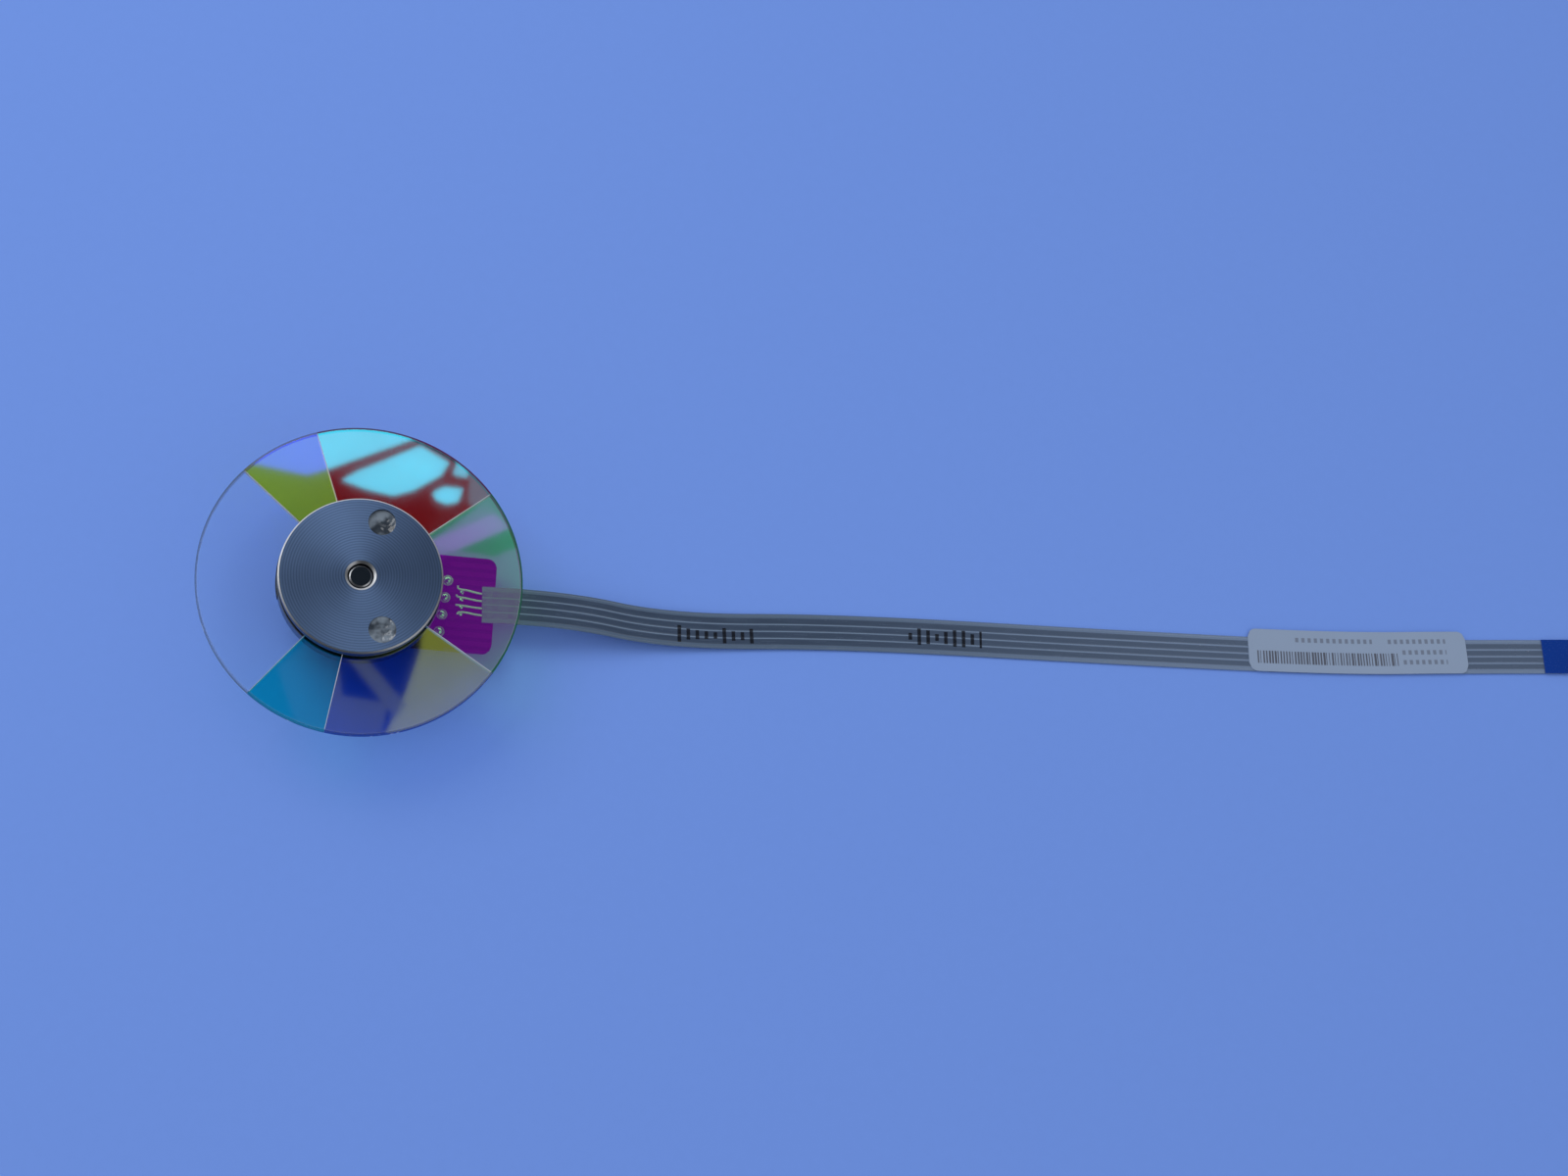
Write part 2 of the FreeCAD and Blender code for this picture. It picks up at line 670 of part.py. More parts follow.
coils = []
coil_inner = yoke_radius + insulator_margin + coil_end_gap
coil_outer = tooth_end - coil_end_gap
coil_low = insulator_low - coil_build
coil_high = core_top + insulator_thick + coil_build
coil_wide = tooth_width + insulator_margin * 2 + coil_side * 2
for index in range(tooth_count):
    angle = 360.0 * index / tooth_count
    block = box("coil_block_%d" % (index + 1), coil_outer - coil_inner, coil_wide, coil_high - coil_low,
                (coil_outer + coil_inner) / 2, 0, coil_low)
    doc.recompute()
    rounded = doc.addObject("Part::Fillet", "coil_round_%d" % (index + 1))
    rounded.Base = block
    rounded.Edges = [(number, coil_round.value, coil_round.value) for number in range(1, 13)]
    hole = box("coil_hole_%d" % (index + 1), coil_outer - coil_inner + 2, tooth_width + insulator_margin * 2,
               core_thick + insulator_thick * 2, (coil_outer + coil_inner) / 2, 0, insulator_low)
    coil = doc.addObject("Part::Cut", "coil_%d" % (index + 1))
    coil.Base = rounded
    coil.Tool = hole
    coil.Placement = FreeCAD.Placement(Vector(0, 0, 0), FreeCAD.Rotation(Vector(0, 0, 1), angle))
    coils.append(coil)
compound("stator_coils", coils)


def tangent_path(points):
    edges = []
    radii = []
    last = points[0]
    for index in range(1, len(points) - 1):
        before = (points[index - 1] - points[index])
        after = (points[index + 1] - points[index])
        shorter = min(before.Length, after.Length)
        turn = math.pi - before.getAngle(after)
        radius = 0.45 * shorter / math.tan(turn / 2)
        cut = radius * math.tan(turn / 2)
        before.normalize()
        after.normalize()
        start = points[index] + before * cut
        end = points[index] + after * cut
        inward = (before + after).normalize()
        centre = points[index] + inward * (radius / math.cos(turn / 2))
        middle = centre - inward * radius
        edges.append(Part.LineSegment(last, start).toShape())
        edges.append(Part.Arc(start, middle, end).toShape())
        radii.append(radius)
        last = end
    edges.append(Part.LineSegment(last, points[-1]).toShape())
    return Part.Wire(edges), radii


def band(path, wide, thick, side, up):
    start = path.Edges[0].valueAt(path.Edges[0].FirstParameter)
    corners = [start + side * (across * wide / 2) + up * (rise * thick / 2)
               for across, rise in ((-1, -1), (1, -1), (1, 1), (-1, 1))]
    section = Part.makePolygon(corners + [corners[0]])
    shell = Part.BRepOffsetAPI.MakePipeShell(path)
    shell.setBiNormalMode(Vector(0, 0, 1))
    shell.add(section)
    shell.build()
    shell.makeSolid()
    return shell.shape()


def free_shape(name, shape):
    feature = doc.addObject("Part::Feature", name + "_shape")
    feature.Shape = shape
    return feature


# Coil leads, from under the coils out to the solder joints
leads = []
joints = []
for index, lead_angle in enumerate(lead_angles):
    lead_turn = math.radians(lead_angle.value)
    outward = Vector(math.cos(lead_turn), math.sin(lead_turn), 0)
    lead_height = board_top.value + lead_radius.value
    across = joint_row + joint_lean * (index - (conductor_count - 1) / 2)
    along = joint_shift + joint_pitch * (index - (conductor_count - 1) / 2)
    points = [outward * lead_start.value + Vector(0, 0, coil_low.value + 0.1),
              outward * (lead_start.value + 0.3) + Vector(0, 0, lead_height),
              Vector(across.value, along.value, lead_height)]
    path, bends = tangent_path(points)
    ring = Part.Wire(Part.makeCircle(lead_radius.value, points[0], points[1] - points[0]))
    leads.append(free_shape("coil_lead_%d" % (index + 1), path.makePipeShell([ring], True, True)))
    dome_radius = (joint_radius * joint_radius + joint_height * joint_height) / (joint_height * 2)
    dome = doc.addObject("Part::Sphere", "joint_dome_%d" % (index + 1))
    dome.setExpression("Radius", dome_radius.text)
    place(dome, across, along, board_top + joint_height - dome_radius)
    foot = doc.addObject("Part::Cylinder", "joint_foot_%d" % (index + 1))
    foot.setExpression("Radius", dome_radius.text)
    foot.setExpression("Height", joint_height.text)
    place(foot, across, along, board_top)
    joint = doc.addObject("Part::Common", "joint_%d" % (index + 1))
    joint.Base = dome
    joint.Tool = foot
    joints.append(joint)
compound("coil_leads", leads)
compound("motor_solder_joints", joints)

# Cable route: off the board, down to the table and along it, straight runs joined by tangent arcs
rest_height = cable_thick / 2
route = []
for share, along, rise in (
    (0.0, 0.0, board_top.value),
    (0.069, 0.6, board_top.value),
    (0.1667, -0.05, 0.4),
    (0.323, 2.35, 0.0),
    (0.577, 3.7, 0.0),
    (0.785, 5.1, 0.0),
    (0.909, 7.1, 0.0),
    (1.0, 8.35, 0.0),
):
    across = cable_start.value + cable_reach.value * share
    route.append(Vector(across, along * cable_reach.value / 153.6, rise + rest_height.value))
cable_path, cable_radii = tangent_path(route)
cable = free_shape("flat_cable", band(cable_path, cable_width.value, cable_thick.value,
                                      Vector(0, 1, 0), Vector(0, 0, 1)))
keep(cable, "flat_cable")
print("cable length %.2f" % cable_path.Length, "radii", ["%.0f" % radius for radius in cable_radii])
print("cable volume %.3f" % cable.Shape.Volume,
      "section times length %.3f" % (cable_width.value * cable_thick.value * cable_path.Length))


def laid(feature, start, heading):
    turn = FreeCAD.Rotation(Vector(0, 0, 1), math.degrees(math.atan2(heading.y, heading.x)))
    feature.Placement = FreeCAD.Placement(start, turn)
    return feature


def strip(name, long, wide, thick, shift, lift):
    feature = doc.addObject("Part::Box", name)
    feature.setExpression("Length", long.text)
    feature.setExpression("Width", wide.text)
    feature.setExpression("Height", thick.text)
    doc.recompute()
    holder = doc.addObject("Part::Compound", name + "_laid")
    holder.Links = [feature]
    place(feature, 0, shift - wide / 2, lift)
    return holder


# Bare tails from the cable's end to their solder joints on the board
tails = []
tail_joints = []
for index in range(conductor_count):
    shift = tail_pitch * (index - (conductor_count - 1) / 2)
    length = cable_start - tail_start
    tails.append(box("tail_%d" % (index + 1), length, tail_width, tail_thick,
                     tail_start + length / 2, shift, board_top))
    rise = tail_joint_rise
    radius = (tail_joint_length * tail_joint_length + rise * rise * 4) / (rise * 8)
    dome = doc.addObject("Part::Sphere", "tail_dome_%d" % (index + 1))
    dome.setExpression("Radius", radius.text)
    place(dome, tail_start + tail_joint_length / 2, shift,
          board_top + tail_thick + tail_joint_rise - radius)
    foot = box("tail_foot_%d" % (index + 1), tail_joint_length, tail_joint_length * 0.9, tail_joint_rise * 2,
               tail_start + tail_joint_length / 2, shift, board_top + tail_thick)
    joint = doc.addObject("Part::Common", "tail_joint_%d" % (index + 1))
    joint.Base = dome
    joint.Tool = foot
    tail_joints.append(joint)
compound("cable_tails", tails)
compound("cable_solder_joints", tail_joints)

# Translucent film on the cable's board end, following its first run
first_run = (route[1] - route[0]).normalize()
film_path = Part.Wire([Part.LineSegment(route[0] + Vector(0, 0, rest_height.value + film_thick.value / 2),
                                        route[0] + first_run * board_film_length.value
                                        + Vector(0, 0, rest_height.value + film_thick.value / 2)).toShape()])
board_film = free_shape("board_film", band(film_path, cable_width.value, film_thick.value,
                                           Vector(0, 1, 0), Vector(0, 0, 1)))
keep(board_film, "board_stiffener")

# Blue film on the free end, with the bare contact strips under it
last_run = (route[-1] - route[-2]).normalize()
sideways = Vector(-last_run.y, last_run.x, 0)
cable_end = route[-1] - Vector(0, 0, rest_height.value)
end_film = strip("end_film", end_film_length, cable_width, film_thick, as_size(0), cable_thick)
laid(end_film, cable_end - last_run * (end_film_length.value - contact_length.value), last_run)
keep(end_film, "end_stiffener")
contacts = []
for index in range(conductor_count):
    shift = tail_pitch * (index - (conductor_count - 1) / 2)
    contact = strip("contact_%d" % (index + 1), contact_length, contact_width, contact_thick,
                    shift, cable_thick - contact_thick)
    contacts.append(laid(contact, cable_end, last_run))
compound("contact_strips", contacts)

# Paper label, flush with one edge of the cable and overhanging the other
label_run = (route[6] - route[5]).normalize()
label_body = new_body("cable_label")
label_outline = new_sketch(label_body, "label_outline", "XY_Plane")
half_label = label_width / 2
closed_outline(label_outline, [
    (0, label_offset - half_label),
    (label_length, label_offset - half_label),
    (label_length, label_offset + half_label),
    (0, label_offset + half_label),
])
label_outline.setExpression("AttachmentOffset.Base.z", cable_thick.text)
label_pad = label_body.newObject("PartDesign::Pad", "label_sheet")
label_pad.Profile = label_outline
label_pad.setExpression("Length", label_thick.text)
doc.recompute()
label_edges = ["Edge%d" % number for number, edge in enumerate(label_pad.Shape.Edges, 1)
               if abs(edge.Vertexes[0].Z - edge.Vertexes[-1].Z) > label_thick.value / 2]
label_round = label_body.newObject("PartDesign::Fillet", "label_corners")
label_round.Base = (label_pad, label_edges)
label_round.setExpression("Radius", label_corner.text)
label_place = route[5] - Vector(0, 0, rest_height.value) - label_run * (route[5].x - label_start.value)
laid(label_body, label_place, label_run)
doc.recompute()

os.makedirs("parts", exist_ok=True)
for name, feature in nodes:
    shape = feature.Shape
    if shape.isNull() or not shape.isValid():
        raise ValueError("bad shape in " + name)
    if any(word in state for state in feature.State for word in ("Invalid", "Error")):
        raise ValueError("bad state in " + name)
    shape.exportStep("parts/%s.step" % name)
    print("%-28s solids %d volume %.3f" % (name, len(shape.Solids), shape.Volume))
for feature in doc.Objects:
    if any(word in state for state in feature.State for word in ("Invalid", "Error")):
        print("bad state", feature.Name, feature.State)
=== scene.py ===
"""Dresses the projector color wheel: coated filter ring, spindle motor, board and flat cable."""

import logging
import math
from dataclasses import dataclass
from enum import Enum
from functools import cache

import bpy
from mathutils import Matrix, Vector


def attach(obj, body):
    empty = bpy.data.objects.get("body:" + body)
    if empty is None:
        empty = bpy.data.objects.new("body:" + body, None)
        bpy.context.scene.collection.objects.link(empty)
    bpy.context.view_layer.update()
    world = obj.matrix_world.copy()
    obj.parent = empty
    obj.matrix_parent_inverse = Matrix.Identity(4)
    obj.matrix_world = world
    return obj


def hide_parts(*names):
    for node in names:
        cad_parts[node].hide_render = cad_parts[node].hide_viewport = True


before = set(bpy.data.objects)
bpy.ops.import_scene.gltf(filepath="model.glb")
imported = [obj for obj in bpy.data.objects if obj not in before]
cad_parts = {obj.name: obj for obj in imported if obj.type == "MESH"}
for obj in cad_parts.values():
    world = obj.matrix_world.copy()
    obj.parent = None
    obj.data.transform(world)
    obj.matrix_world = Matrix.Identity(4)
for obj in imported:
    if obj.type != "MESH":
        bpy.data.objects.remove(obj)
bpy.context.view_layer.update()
MM = 0.001
log = logging.getLogger("color_wheel")

Colour = tuple[float, float, float]
Socket = bpy.types.NodeSocket
BLACK: Colour = (0.0, 0.0, 0.0)
# A face is upright or flat where its normal's height is under the first or over the second number.
UPRIGHT_BELOW = 0.3
FLAT_ABOVE = 0.9


class Body(Enum):
    """The rigid body that the pieces made here ride on, by its name in the record."""

    STATOR = "stator"


class Graph:
    """Builds the nodes of one material, world or node group."""

    def __init__(self, tree: bpy.types.NodeTree) -> None:
        """Keeps the node tree that the nodes go into."""
        self.tree = tree

    def add(self, kind: str, inputs: dict | None = None, **settings) -> bpy.types.Node:
        """Adds a node.

        Args:
            kind: the node's Blender type.
            inputs: a value or a socket for each named input.
            settings: the node's own properties.

        Returns:
            The new node.
        """
        node = self.tree.nodes.new(kind)
        for name, value in settings.items():
            setattr(node, name, value)
        for name, value in (inputs or {}).items():
            self.feed(node.inputs[name], value)
        return node

    def feed(self, socket: Socket, value: object) -> None:
        """Links a socket to an input, or sets the input's value."""
        if isinstance(value, bpy.types.NodeSocket):
            self.tree.links.new(value, socket)
        elif isinstance(value, tuple) and len(value) == 3 and socket.type == "RGBA":
            socket.default_value = (*value, 1.0)
        else:
            socket.default_value = value

    def math(self, operation: str, *values: object, clamp: bool = False) -> Socket:
        """Adds a Math node on the values and returns its result."""
        node = self.add("ShaderNodeMath", operation=operation, use_clamp=clamp)
        for index, value in enumerate(values):
            self.feed(node.inputs[index], value)
        return node.outputs[0]

    def vector_math(self, operation: str, *values: object) -> bpy.types.Node:
        """Adds a Vector Math node on the values and returns the node."""
        node = self.add("ShaderNodeVectorMath", operation=operation)
        for index, value in enumerate(values):
            self.feed(node.inputs[index], value)
        return node

    def split(self, vector: Socket) -> tuple[Socket, Socket, Socket]:
        """Returns a vector's three parts."""
        node = self.add("ShaderNodeSeparateXYZ", {"Vector": vector})
        return node.outputs[0], node.outputs[1], node.outputs[2]

    def product(self, first: Socket, *others: object) -> Socket:
        """Multiplies the values and returns the result."""
        result = first
        for other in others:
            result = self.math("MULTIPLY", result, other)
        return result

    def radius(self, across: Socket, along: Socket) -> Socket:
        """Returns the distance from the spin axis."""
        return self.math("SQRT", self.math("ADD", self.product(across, across), self.product(along, along)))

    def ramp(self, value: Socket, low: float, high: float, start: float = 0.0,
             end: float = 1.0) -> Socket:
        """Maps a value from low..high to start..end, with soft ends, and returns it."""
        node = self.add(
            "ShaderNodeMapRange",
            {"Value": value, "From Min": low, "From Max": high, "To Min": start, "To Max": end},
            interpolation_type="SMOOTHSTEP",
        )
        return node.outputs["Result"]

    def between(self, value: Socket, low: float, high: float, soft: float) -> Socket:
        """Returns the mask of a value between two limits, with soft borders of the given width."""
        return self.product(self.ramp(value, low, low + soft), self.ramp(value, high, high - soft))

    def highest(self, masks: list[Socket]) -> Socket:
        """Returns the greatest of the masks."""
        result = masks[0]
        for mask in masks[1:]:
            result = self.math("MAXIMUM", result, mask)
        return result

    def mix(self, factor: object, first: object, second: object) -> Socket:
        """Mixes two colours and returns the result."""
        node = self.add("ShaderNodeMix", data_type="RGBA")
        for index, value in ((0, factor), (6, first), (7, second)):
            self.feed(node.inputs[index], value)
        return node.outputs[2]

    def place(self) -> Socket:
        """Returns the point's place in the part's frame."""
        return self.add("ShaderNodeTexCoord").outputs["Object"]

    def noise(self, scale: float, detail: float = 2.0, vector: Socket | None = None) -> Socket:
        """Adds a noise texture, with scale in cells per metre, and returns its value."""
        source = vector if vector is not None else self.place()
        node = self.add("ShaderNodeTexNoise", {"Vector": source, "Scale": scale, "Detail": detail})
        return node.outputs["Fac"]


def scaled(colour: Colour, share: float, lift: float = 0.0) -> Colour:
    """Returns a colour times a share, plus a lift, with no part above 1."""
    return tuple(min(1.0, part * share + lift) for part in colour)


def new_group(name: str, numbers: dict[str, float],
              outputs: tuple[str, ...]) -> tuple[Graph, dict, bpy.types.Node]:
    """Starts a shader node group.

    Args:
        name: the group's name.
        numbers: its number inputs with their default values.
        outputs: its number outputs.

    Returns:
        The group's graph, its input sockets by name, and its output node.
    """
    tree = bpy.data.node_groups.new(name, "ShaderNodeTree")
    for label, value in numbers.items():
        socket = tree.interface.new_socket(name=label, in_out="INPUT", socket_type="NodeSocketFloat")
        socket.default_value = value
    for label in outputs:
        tree.interface.new_socket(name=label, in_out="OUTPUT", socket_type="NodeSocketFloat")
    graph = Graph(tree)
    sources = graph.add("NodeGroupInput")
    return graph, {label: sources.outputs[label] for label in numbers}, graph.add("NodeGroupOutput")


class Effects:
    """The effects that several finishes share, each a node group that is made once."""

    @staticmethod
    @cache
    def turning() -> bpy.types.NodeTree:
        """Returns the group of round tool marks about the spin axis."""
        graph, given, out = new_group(
            "turning_marks", {"Pitch": 0.0002, "Wander": 0.15}, ("Height", "Tone"))
        across, along, up = graph.split(graph.place())
        level = graph.math("ADD", graph.radius(across, along), graph.product(up, 0.5))
        turns = graph.math("DIVIDE", level, given["Pitch"])
        wander = graph.product(graph.noise(900.0, 1.0), given["Wander"])
        wave = graph.math("SINE", graph.product(graph.math("ADD", turns, wander), math.tau))
        graph.feed(out.inputs["Height"], graph.math("MULTIPLY_ADD", wave, 0.5, 0.5))
        bands = graph.add("ShaderNodeCombineXYZ", {"X": graph.product(level, 2600.0)})
        graph.feed(out.inputs["Tone"], graph.noise(1.0, 3.0, bands.outputs[0]))
        return graph.tree

    @staticmethod
    @cache
    def wear() -> bpy.types.NodeTree:
        """Returns the group that marks rubbed edges."""
        graph, given, out = new_group("edge_wear", {"Width": 0.0001, "Amount": 0.6}, ("Mask",))
        rounded = graph.add("ShaderNodeBevel", {"Radius": given["Width"]}, samples=4)
        plain = graph.add("ShaderNodeNewGeometry")
        meet = graph.vector_math("DOT_PRODUCT", rounded.outputs[0], plain.outputs["Normal"])
        edge = graph.ramp(meet.outputs["Value"], 0.995, 0.85)
        broken = graph.ramp(graph.noise(2400.0, 3.0), 0.35, 0.65)
        graph.feed(out.inputs["Mask"], graph.product(edge, broken, given["Amount"]))
        return graph.tree

    @staticmethod
    @cache
    def grain() -> bpy.types.NodeTree:
        """Returns the group of fine grain, smudges and specks."""
        graph, given, out = new_group(
            "fine_grain", {"Scale": 3000.0, "Dust": 0.2}, ("Grain", "Smudge", "Dust"))
        place = graph.place()
        fine = graph.add("ShaderNodeTexNoise", {"Vector": place, "Scale": given["Scale"], "Detail": 4.0})
        graph.feed(out.inputs["Grain"], fine.outputs["Fac"])
        graph.feed(out.inputs["Smudge"], graph.noise(160.0, 3.0, place))
        specks = graph.add("ShaderNodeTexVoronoi", {"Vector": place, "Scale": 1100.0})
        near = graph.ramp(specks.outputs["Distance"], 0.09, 0.03)
        some = graph.ramp(graph.noise(500.0, 1.0, place), 0.6, 0.7)
        graph.feed(out.inputs["Dust"], graph.product(near, some, given["Dust"]))
        return graph.tree


class Finish:
    """A material under construction, with the nodes that every finish starts from."""

    def __init__(self, name: str) -> None:
        """Makes an empty material with its output node."""
        self.material = bpy.data.materials.new(name)
        self.material.use_nodes = True
        self.material.node_tree.nodes.clear()
        self.graph = Graph(self.material.node_tree)
        self.output = self.graph.add("ShaderNodeOutputMaterial")

    def effect(self, tree: bpy.types.NodeTree, **numbers: float) -> bpy.types.Node:
        """Places a shared effect in the material and returns its node."""
        node = self.graph.add("ShaderNodeGroup", node_tree=tree)
        for name, value in numbers.items():
            node.inputs[name].default_value = value
        return node

    def bump(self, height: Socket, distance: float, strength: float = 1.0) -> Socket:
        """Adds a Bump node on a height and returns its normal."""
        inputs = {"Height": height, "Distance": distance, "Strength": strength}
        return self.graph.add("ShaderNodeBump", inputs).outputs[0]

    def surface(self, inputs: dict) -> bpy.types.Node:
        """Adds a Principled surface, joins it to the output and returns it."""
        node = self.graph.add("ShaderNodeBsdfPrincipled", inputs)
        self.graph.feed(self.output.inputs["Surface"], node.outputs[0])
        return node


@dataclass(frozen=True)
class Metal:
    """A machined, drawn or ground metal.

    The pitch and depth are those of its tool marks, in metres. The tone is how far its colour varies, the
    chamfer highlight the brightness of the painted highlight on its sloped edges, the side the share of
    colour that its upright faces keep under their painted shade, the rings the darkness of the painted shade
    in its grooves, and the turn how far its sheen is turned from the marks, in turns.
    """

    name: str
    colour: Colour
    roughness: float = 0.3
    anisotropy: float = 0.0
    pitch: float = 0.0002
    depth: float = 0.0
    tone: float = 0.1
    wear: float = 0.5
    # The next three paint light and shade into the colour: a highlight on sloped faces, shade on upright
    # faces, shade in the grooves.
    chamfer_highlight: float = 0.0
    side: float = 1.0
    rings: float = 0.0
    metallic: float = 1.0
    dust: float = 0.15
    turn: float = 0.0

    def build(self) -> bpy.types.Material:
        """Returns the metal's material."""
        finish = Finish(self.name)
        graph = finish.graph
        marks = finish.effect(Effects.turning(), Pitch=self.pitch, Wander=0.05)
        edges = finish.effect(Effects.wear(), Amount=self.wear)
        grain = finish.effect(Effects.grain(), Scale=5000.0, Dust=self.dust)
        darker = scaled(self.colour, 1.0 - self.tone)
        base = graph.mix(marks.outputs["Tone"], darker, scaled(self.colour, 1.0 + self.tone))
        # Painted shade: the grooves of the tool marks are darkened towards black.
        if self.rings > 0.0:
            base = graph.mix(graph.product(marks.outputs["Height"], self.rings), base, BLACK)
        base = graph.mix(graph.product(grain.outputs["Smudge"], 0.12), base, darker)
        base = graph.mix(edges.outputs["Mask"], base, scaled(self.colour, 1.45, 0.05))
        rough = graph.math("MULTIPLY_ADD", grain.outputs["Smudge"], 0.12, self.roughness - 0.06)
        rough = graph.math("ADD", rough, graph.product(grain.outputs["Dust"], 0.4))
        # Painted highlight: sloped faces take a bright colour, and further down their normal is tipped
        # upward.
        if self.chamfer_highlight > 0.0:
            _, _, up = graph.split(graph.add("ShaderNodeNewGeometry").outputs["True Normal"])
            level = graph.math("ABSOLUTE", up)
            slope = graph.product(graph.math("GREATER_THAN", level, UPRIGHT_BELOW),
                                  graph.math("LESS_THAN", level, FLAT_ABOVE))
            base = graph.mix(slope, base, (self.chamfer_highlight, self.chamfer_highlight * 1.03, self.chamfer_highlight * 1.08))
            # Painted shade: upright faces are darkened towards black, keeping the side's share of their
            # colour.
            upright = graph.product(graph.math("LESS_THAN", level, UPRIGHT_BELOW), 1.0 - self.side)
            base = graph.mix(upright, base, BLACK)
        inputs = {
            "Base Color": base,
            "Metallic": self.metallic,
            "Roughness": rough,
            "Anisotropic": self.anisotropy,
            "Anisotropic Rotation": self.turn,
        }
        if self.depth > 0.0:
            inputs["Normal"] = finish.bump(marks.outputs["Height"], self.depth)
        elif self.chamfer_highlight > 0.0:
            lift = graph.add("ShaderNodeCombineXYZ", {"Z": graph.product(slope, 0.5)})
            plain = graph.add("ShaderNodeNewGeometry").outputs["Normal"]
            raised = graph.vector_math("ADD", plain, lift.outputs[0]).outputs[0]
            inputs["Normal"] = graph.vector_math("NORMALIZE", raised).outputs[0]
        shader = finish.surface(inputs)
        if self.anisotropy > 0.0:
            tangent = graph.add("ShaderNodeTangent", direction_type="RADIAL", axis="Z")
            graph.feed(shader.inputs["Tangent"], tangent.outputs[0])
        return finish.material


@dataclass(frozen=True)
class CoatedGlass:
    """A pane of filter glass.

    Its coating lets one colour through and mirrors another. The rim is the colour of its outer wall, the lip
    that of its ground edge, and the joint that of the pale line where it meets the next pane. It runs from
    the start angle to the end angle, in degrees. The covers are how solid the seam and the lip look.
    """

    name: str
    through: Colour
    mirrored: Colour
    rim: Colour
    lip: Colour
    start: float
    end: float
    joint: Colour = (0.55, 0.6, 0.68)
    joint_half: float = 0.06 * MM
    border: float = 20.96 * MM
    blur: float = 0.03
    shadow_tint: float = 0.35
    seam_cover: float = 0.8
    lip_cover: float = 0.92

    def seam(self, graph: Graph, place: tuple[Socket, Socket, Socket]) -> Socket:
        """Returns the mask of the pale line along the pane's two straight edges."""
        lines: list[Socket] = []
        for degrees in (self.start, self.end):
            turn = math.radians(degrees)
            off = graph.math("SUBTRACT", graph.product(place[0], math.sin(turn)),
                             graph.product(place[1], math.cos(turn)))
            out = graph.math("ADD", graph.product(place[0], math.cos(turn)),
                             graph.product(place[1], math.sin(turn)))
            near = graph.ramp(graph.math("ABSOLUTE", off), self.joint_half, self.joint_half * 0.6)
            lines.append(graph.product(near, graph.math("GREATER_THAN", out, 0.0)))
        return graph.highest(lines)

    def build(self) -> bpy.types.Material:
        """Returns the glass's material."""
        finish = Finish(self.name)
        graph = finish.graph
        grain = finish.effect(Effects.grain(), Scale=900.0, Dust=0.5)
        facing = graph.split(graph.add("ShaderNodeTexCoord").outputs["Normal"])
        flat = graph.math("GREATER_THAN", graph.math("ABSOLUTE", facing[2]), 0.5)
        once = tuple(math.sqrt(part) for part in self.through)
        pale = tuple(1.0 - (1.0 - part) * self.shadow_tint for part in once)
        seen = graph.add("ShaderNodeLightPath").outputs["Is Camera Ray"]
        clear = graph.add("ShaderNodeBsdfTransparent", {"Color": graph.mix(seen, pale, once)})
        veil = graph.mix(graph.product(grain.outputs["Smudge"], 0.2), self.mirrored, BLACK)
        inside = graph.add("ShaderNodeNewGeometry").outputs["Backfacing"]
        veil = graph.mix(inside, veil, BLACK)
        coating = graph.add("ShaderNodeBsdfGlossy", {"Color": veil, "Roughness": self.blur})
        pane = graph.add("ShaderNodeAddShader")
        graph.feed(pane.inputs[0], clear.outputs[0])
        graph.feed(pane.inputs[1], coating.outputs[0])
        polish = graph.add("ShaderNodeBsdfGlossy", {"Color": (1.0, 1.0, 1.0), "Roughness": self.blur})
        fresnel = graph.add("ShaderNodeFresnel", {"IOR": 1.05})
        gloss = graph.product(fresnel.outputs[0], graph.math("SUBTRACT", 1.0, inside))
        face = graph.add("ShaderNodeMixShader", {0: gloss, 1: pane.outputs[0], 2: polish.outputs[0]})
        place = graph.split(graph.place())
        radius = graph.radius(place[0], place[1])
        specks = graph.product(grain.outputs["Dust"], 0.4)
        solid = graph.math("MAXIMUM", specks, graph.product(self.seam(graph, place), self.seam_cover))
        chipped = graph.math("MULTIPLY_ADD", grain.outputs["Grain"], 0.12 * MM, radius)
        border = graph.ramp(chipped, self.border, self.border + 0.1 * MM)
        solid = graph.math("MAXIMUM", solid, graph.product(border, self.lip_cover))
        powder = graph.mix(border, (0.62, 0.66, 0.74), self.lip)
        dust = graph.add("ShaderNodeBsdfDiffuse", {"Color": powder})
        dusty = graph.add("ShaderNodeMixShader", {0: solid, 1: face.outputs[0], 2: dust.outputs[0]})
        turned = graph.math("ADD", graph.product(place[0], facing[0]), graph.product(place[1], facing[1]))
        outward = graph.math("ABSOLUTE", graph.math("DIVIDE", turned, radius))
        tone = graph.mix(graph.math("GREATER_THAN", outward, 0.7), self.joint, self.rim)
        chips = graph.mix(graph.ramp(grain.outputs["Grain"], 0.6, 0.75), tone, (0.8, 0.85, 0.9))
        edge = graph.add("ShaderNodeBsdfPrincipled",
                         {"Base Color": chips, "Roughness": 0.4, "Specular IOR Level": 0.1})
        whole = graph.add("ShaderNodeMixShader", {0: flat, 1: edge.outputs[0], 2: dusty.outputs[0]})
        graph.feed(finish.output.inputs["Surface"], whole.outputs[0])
        return finish.material


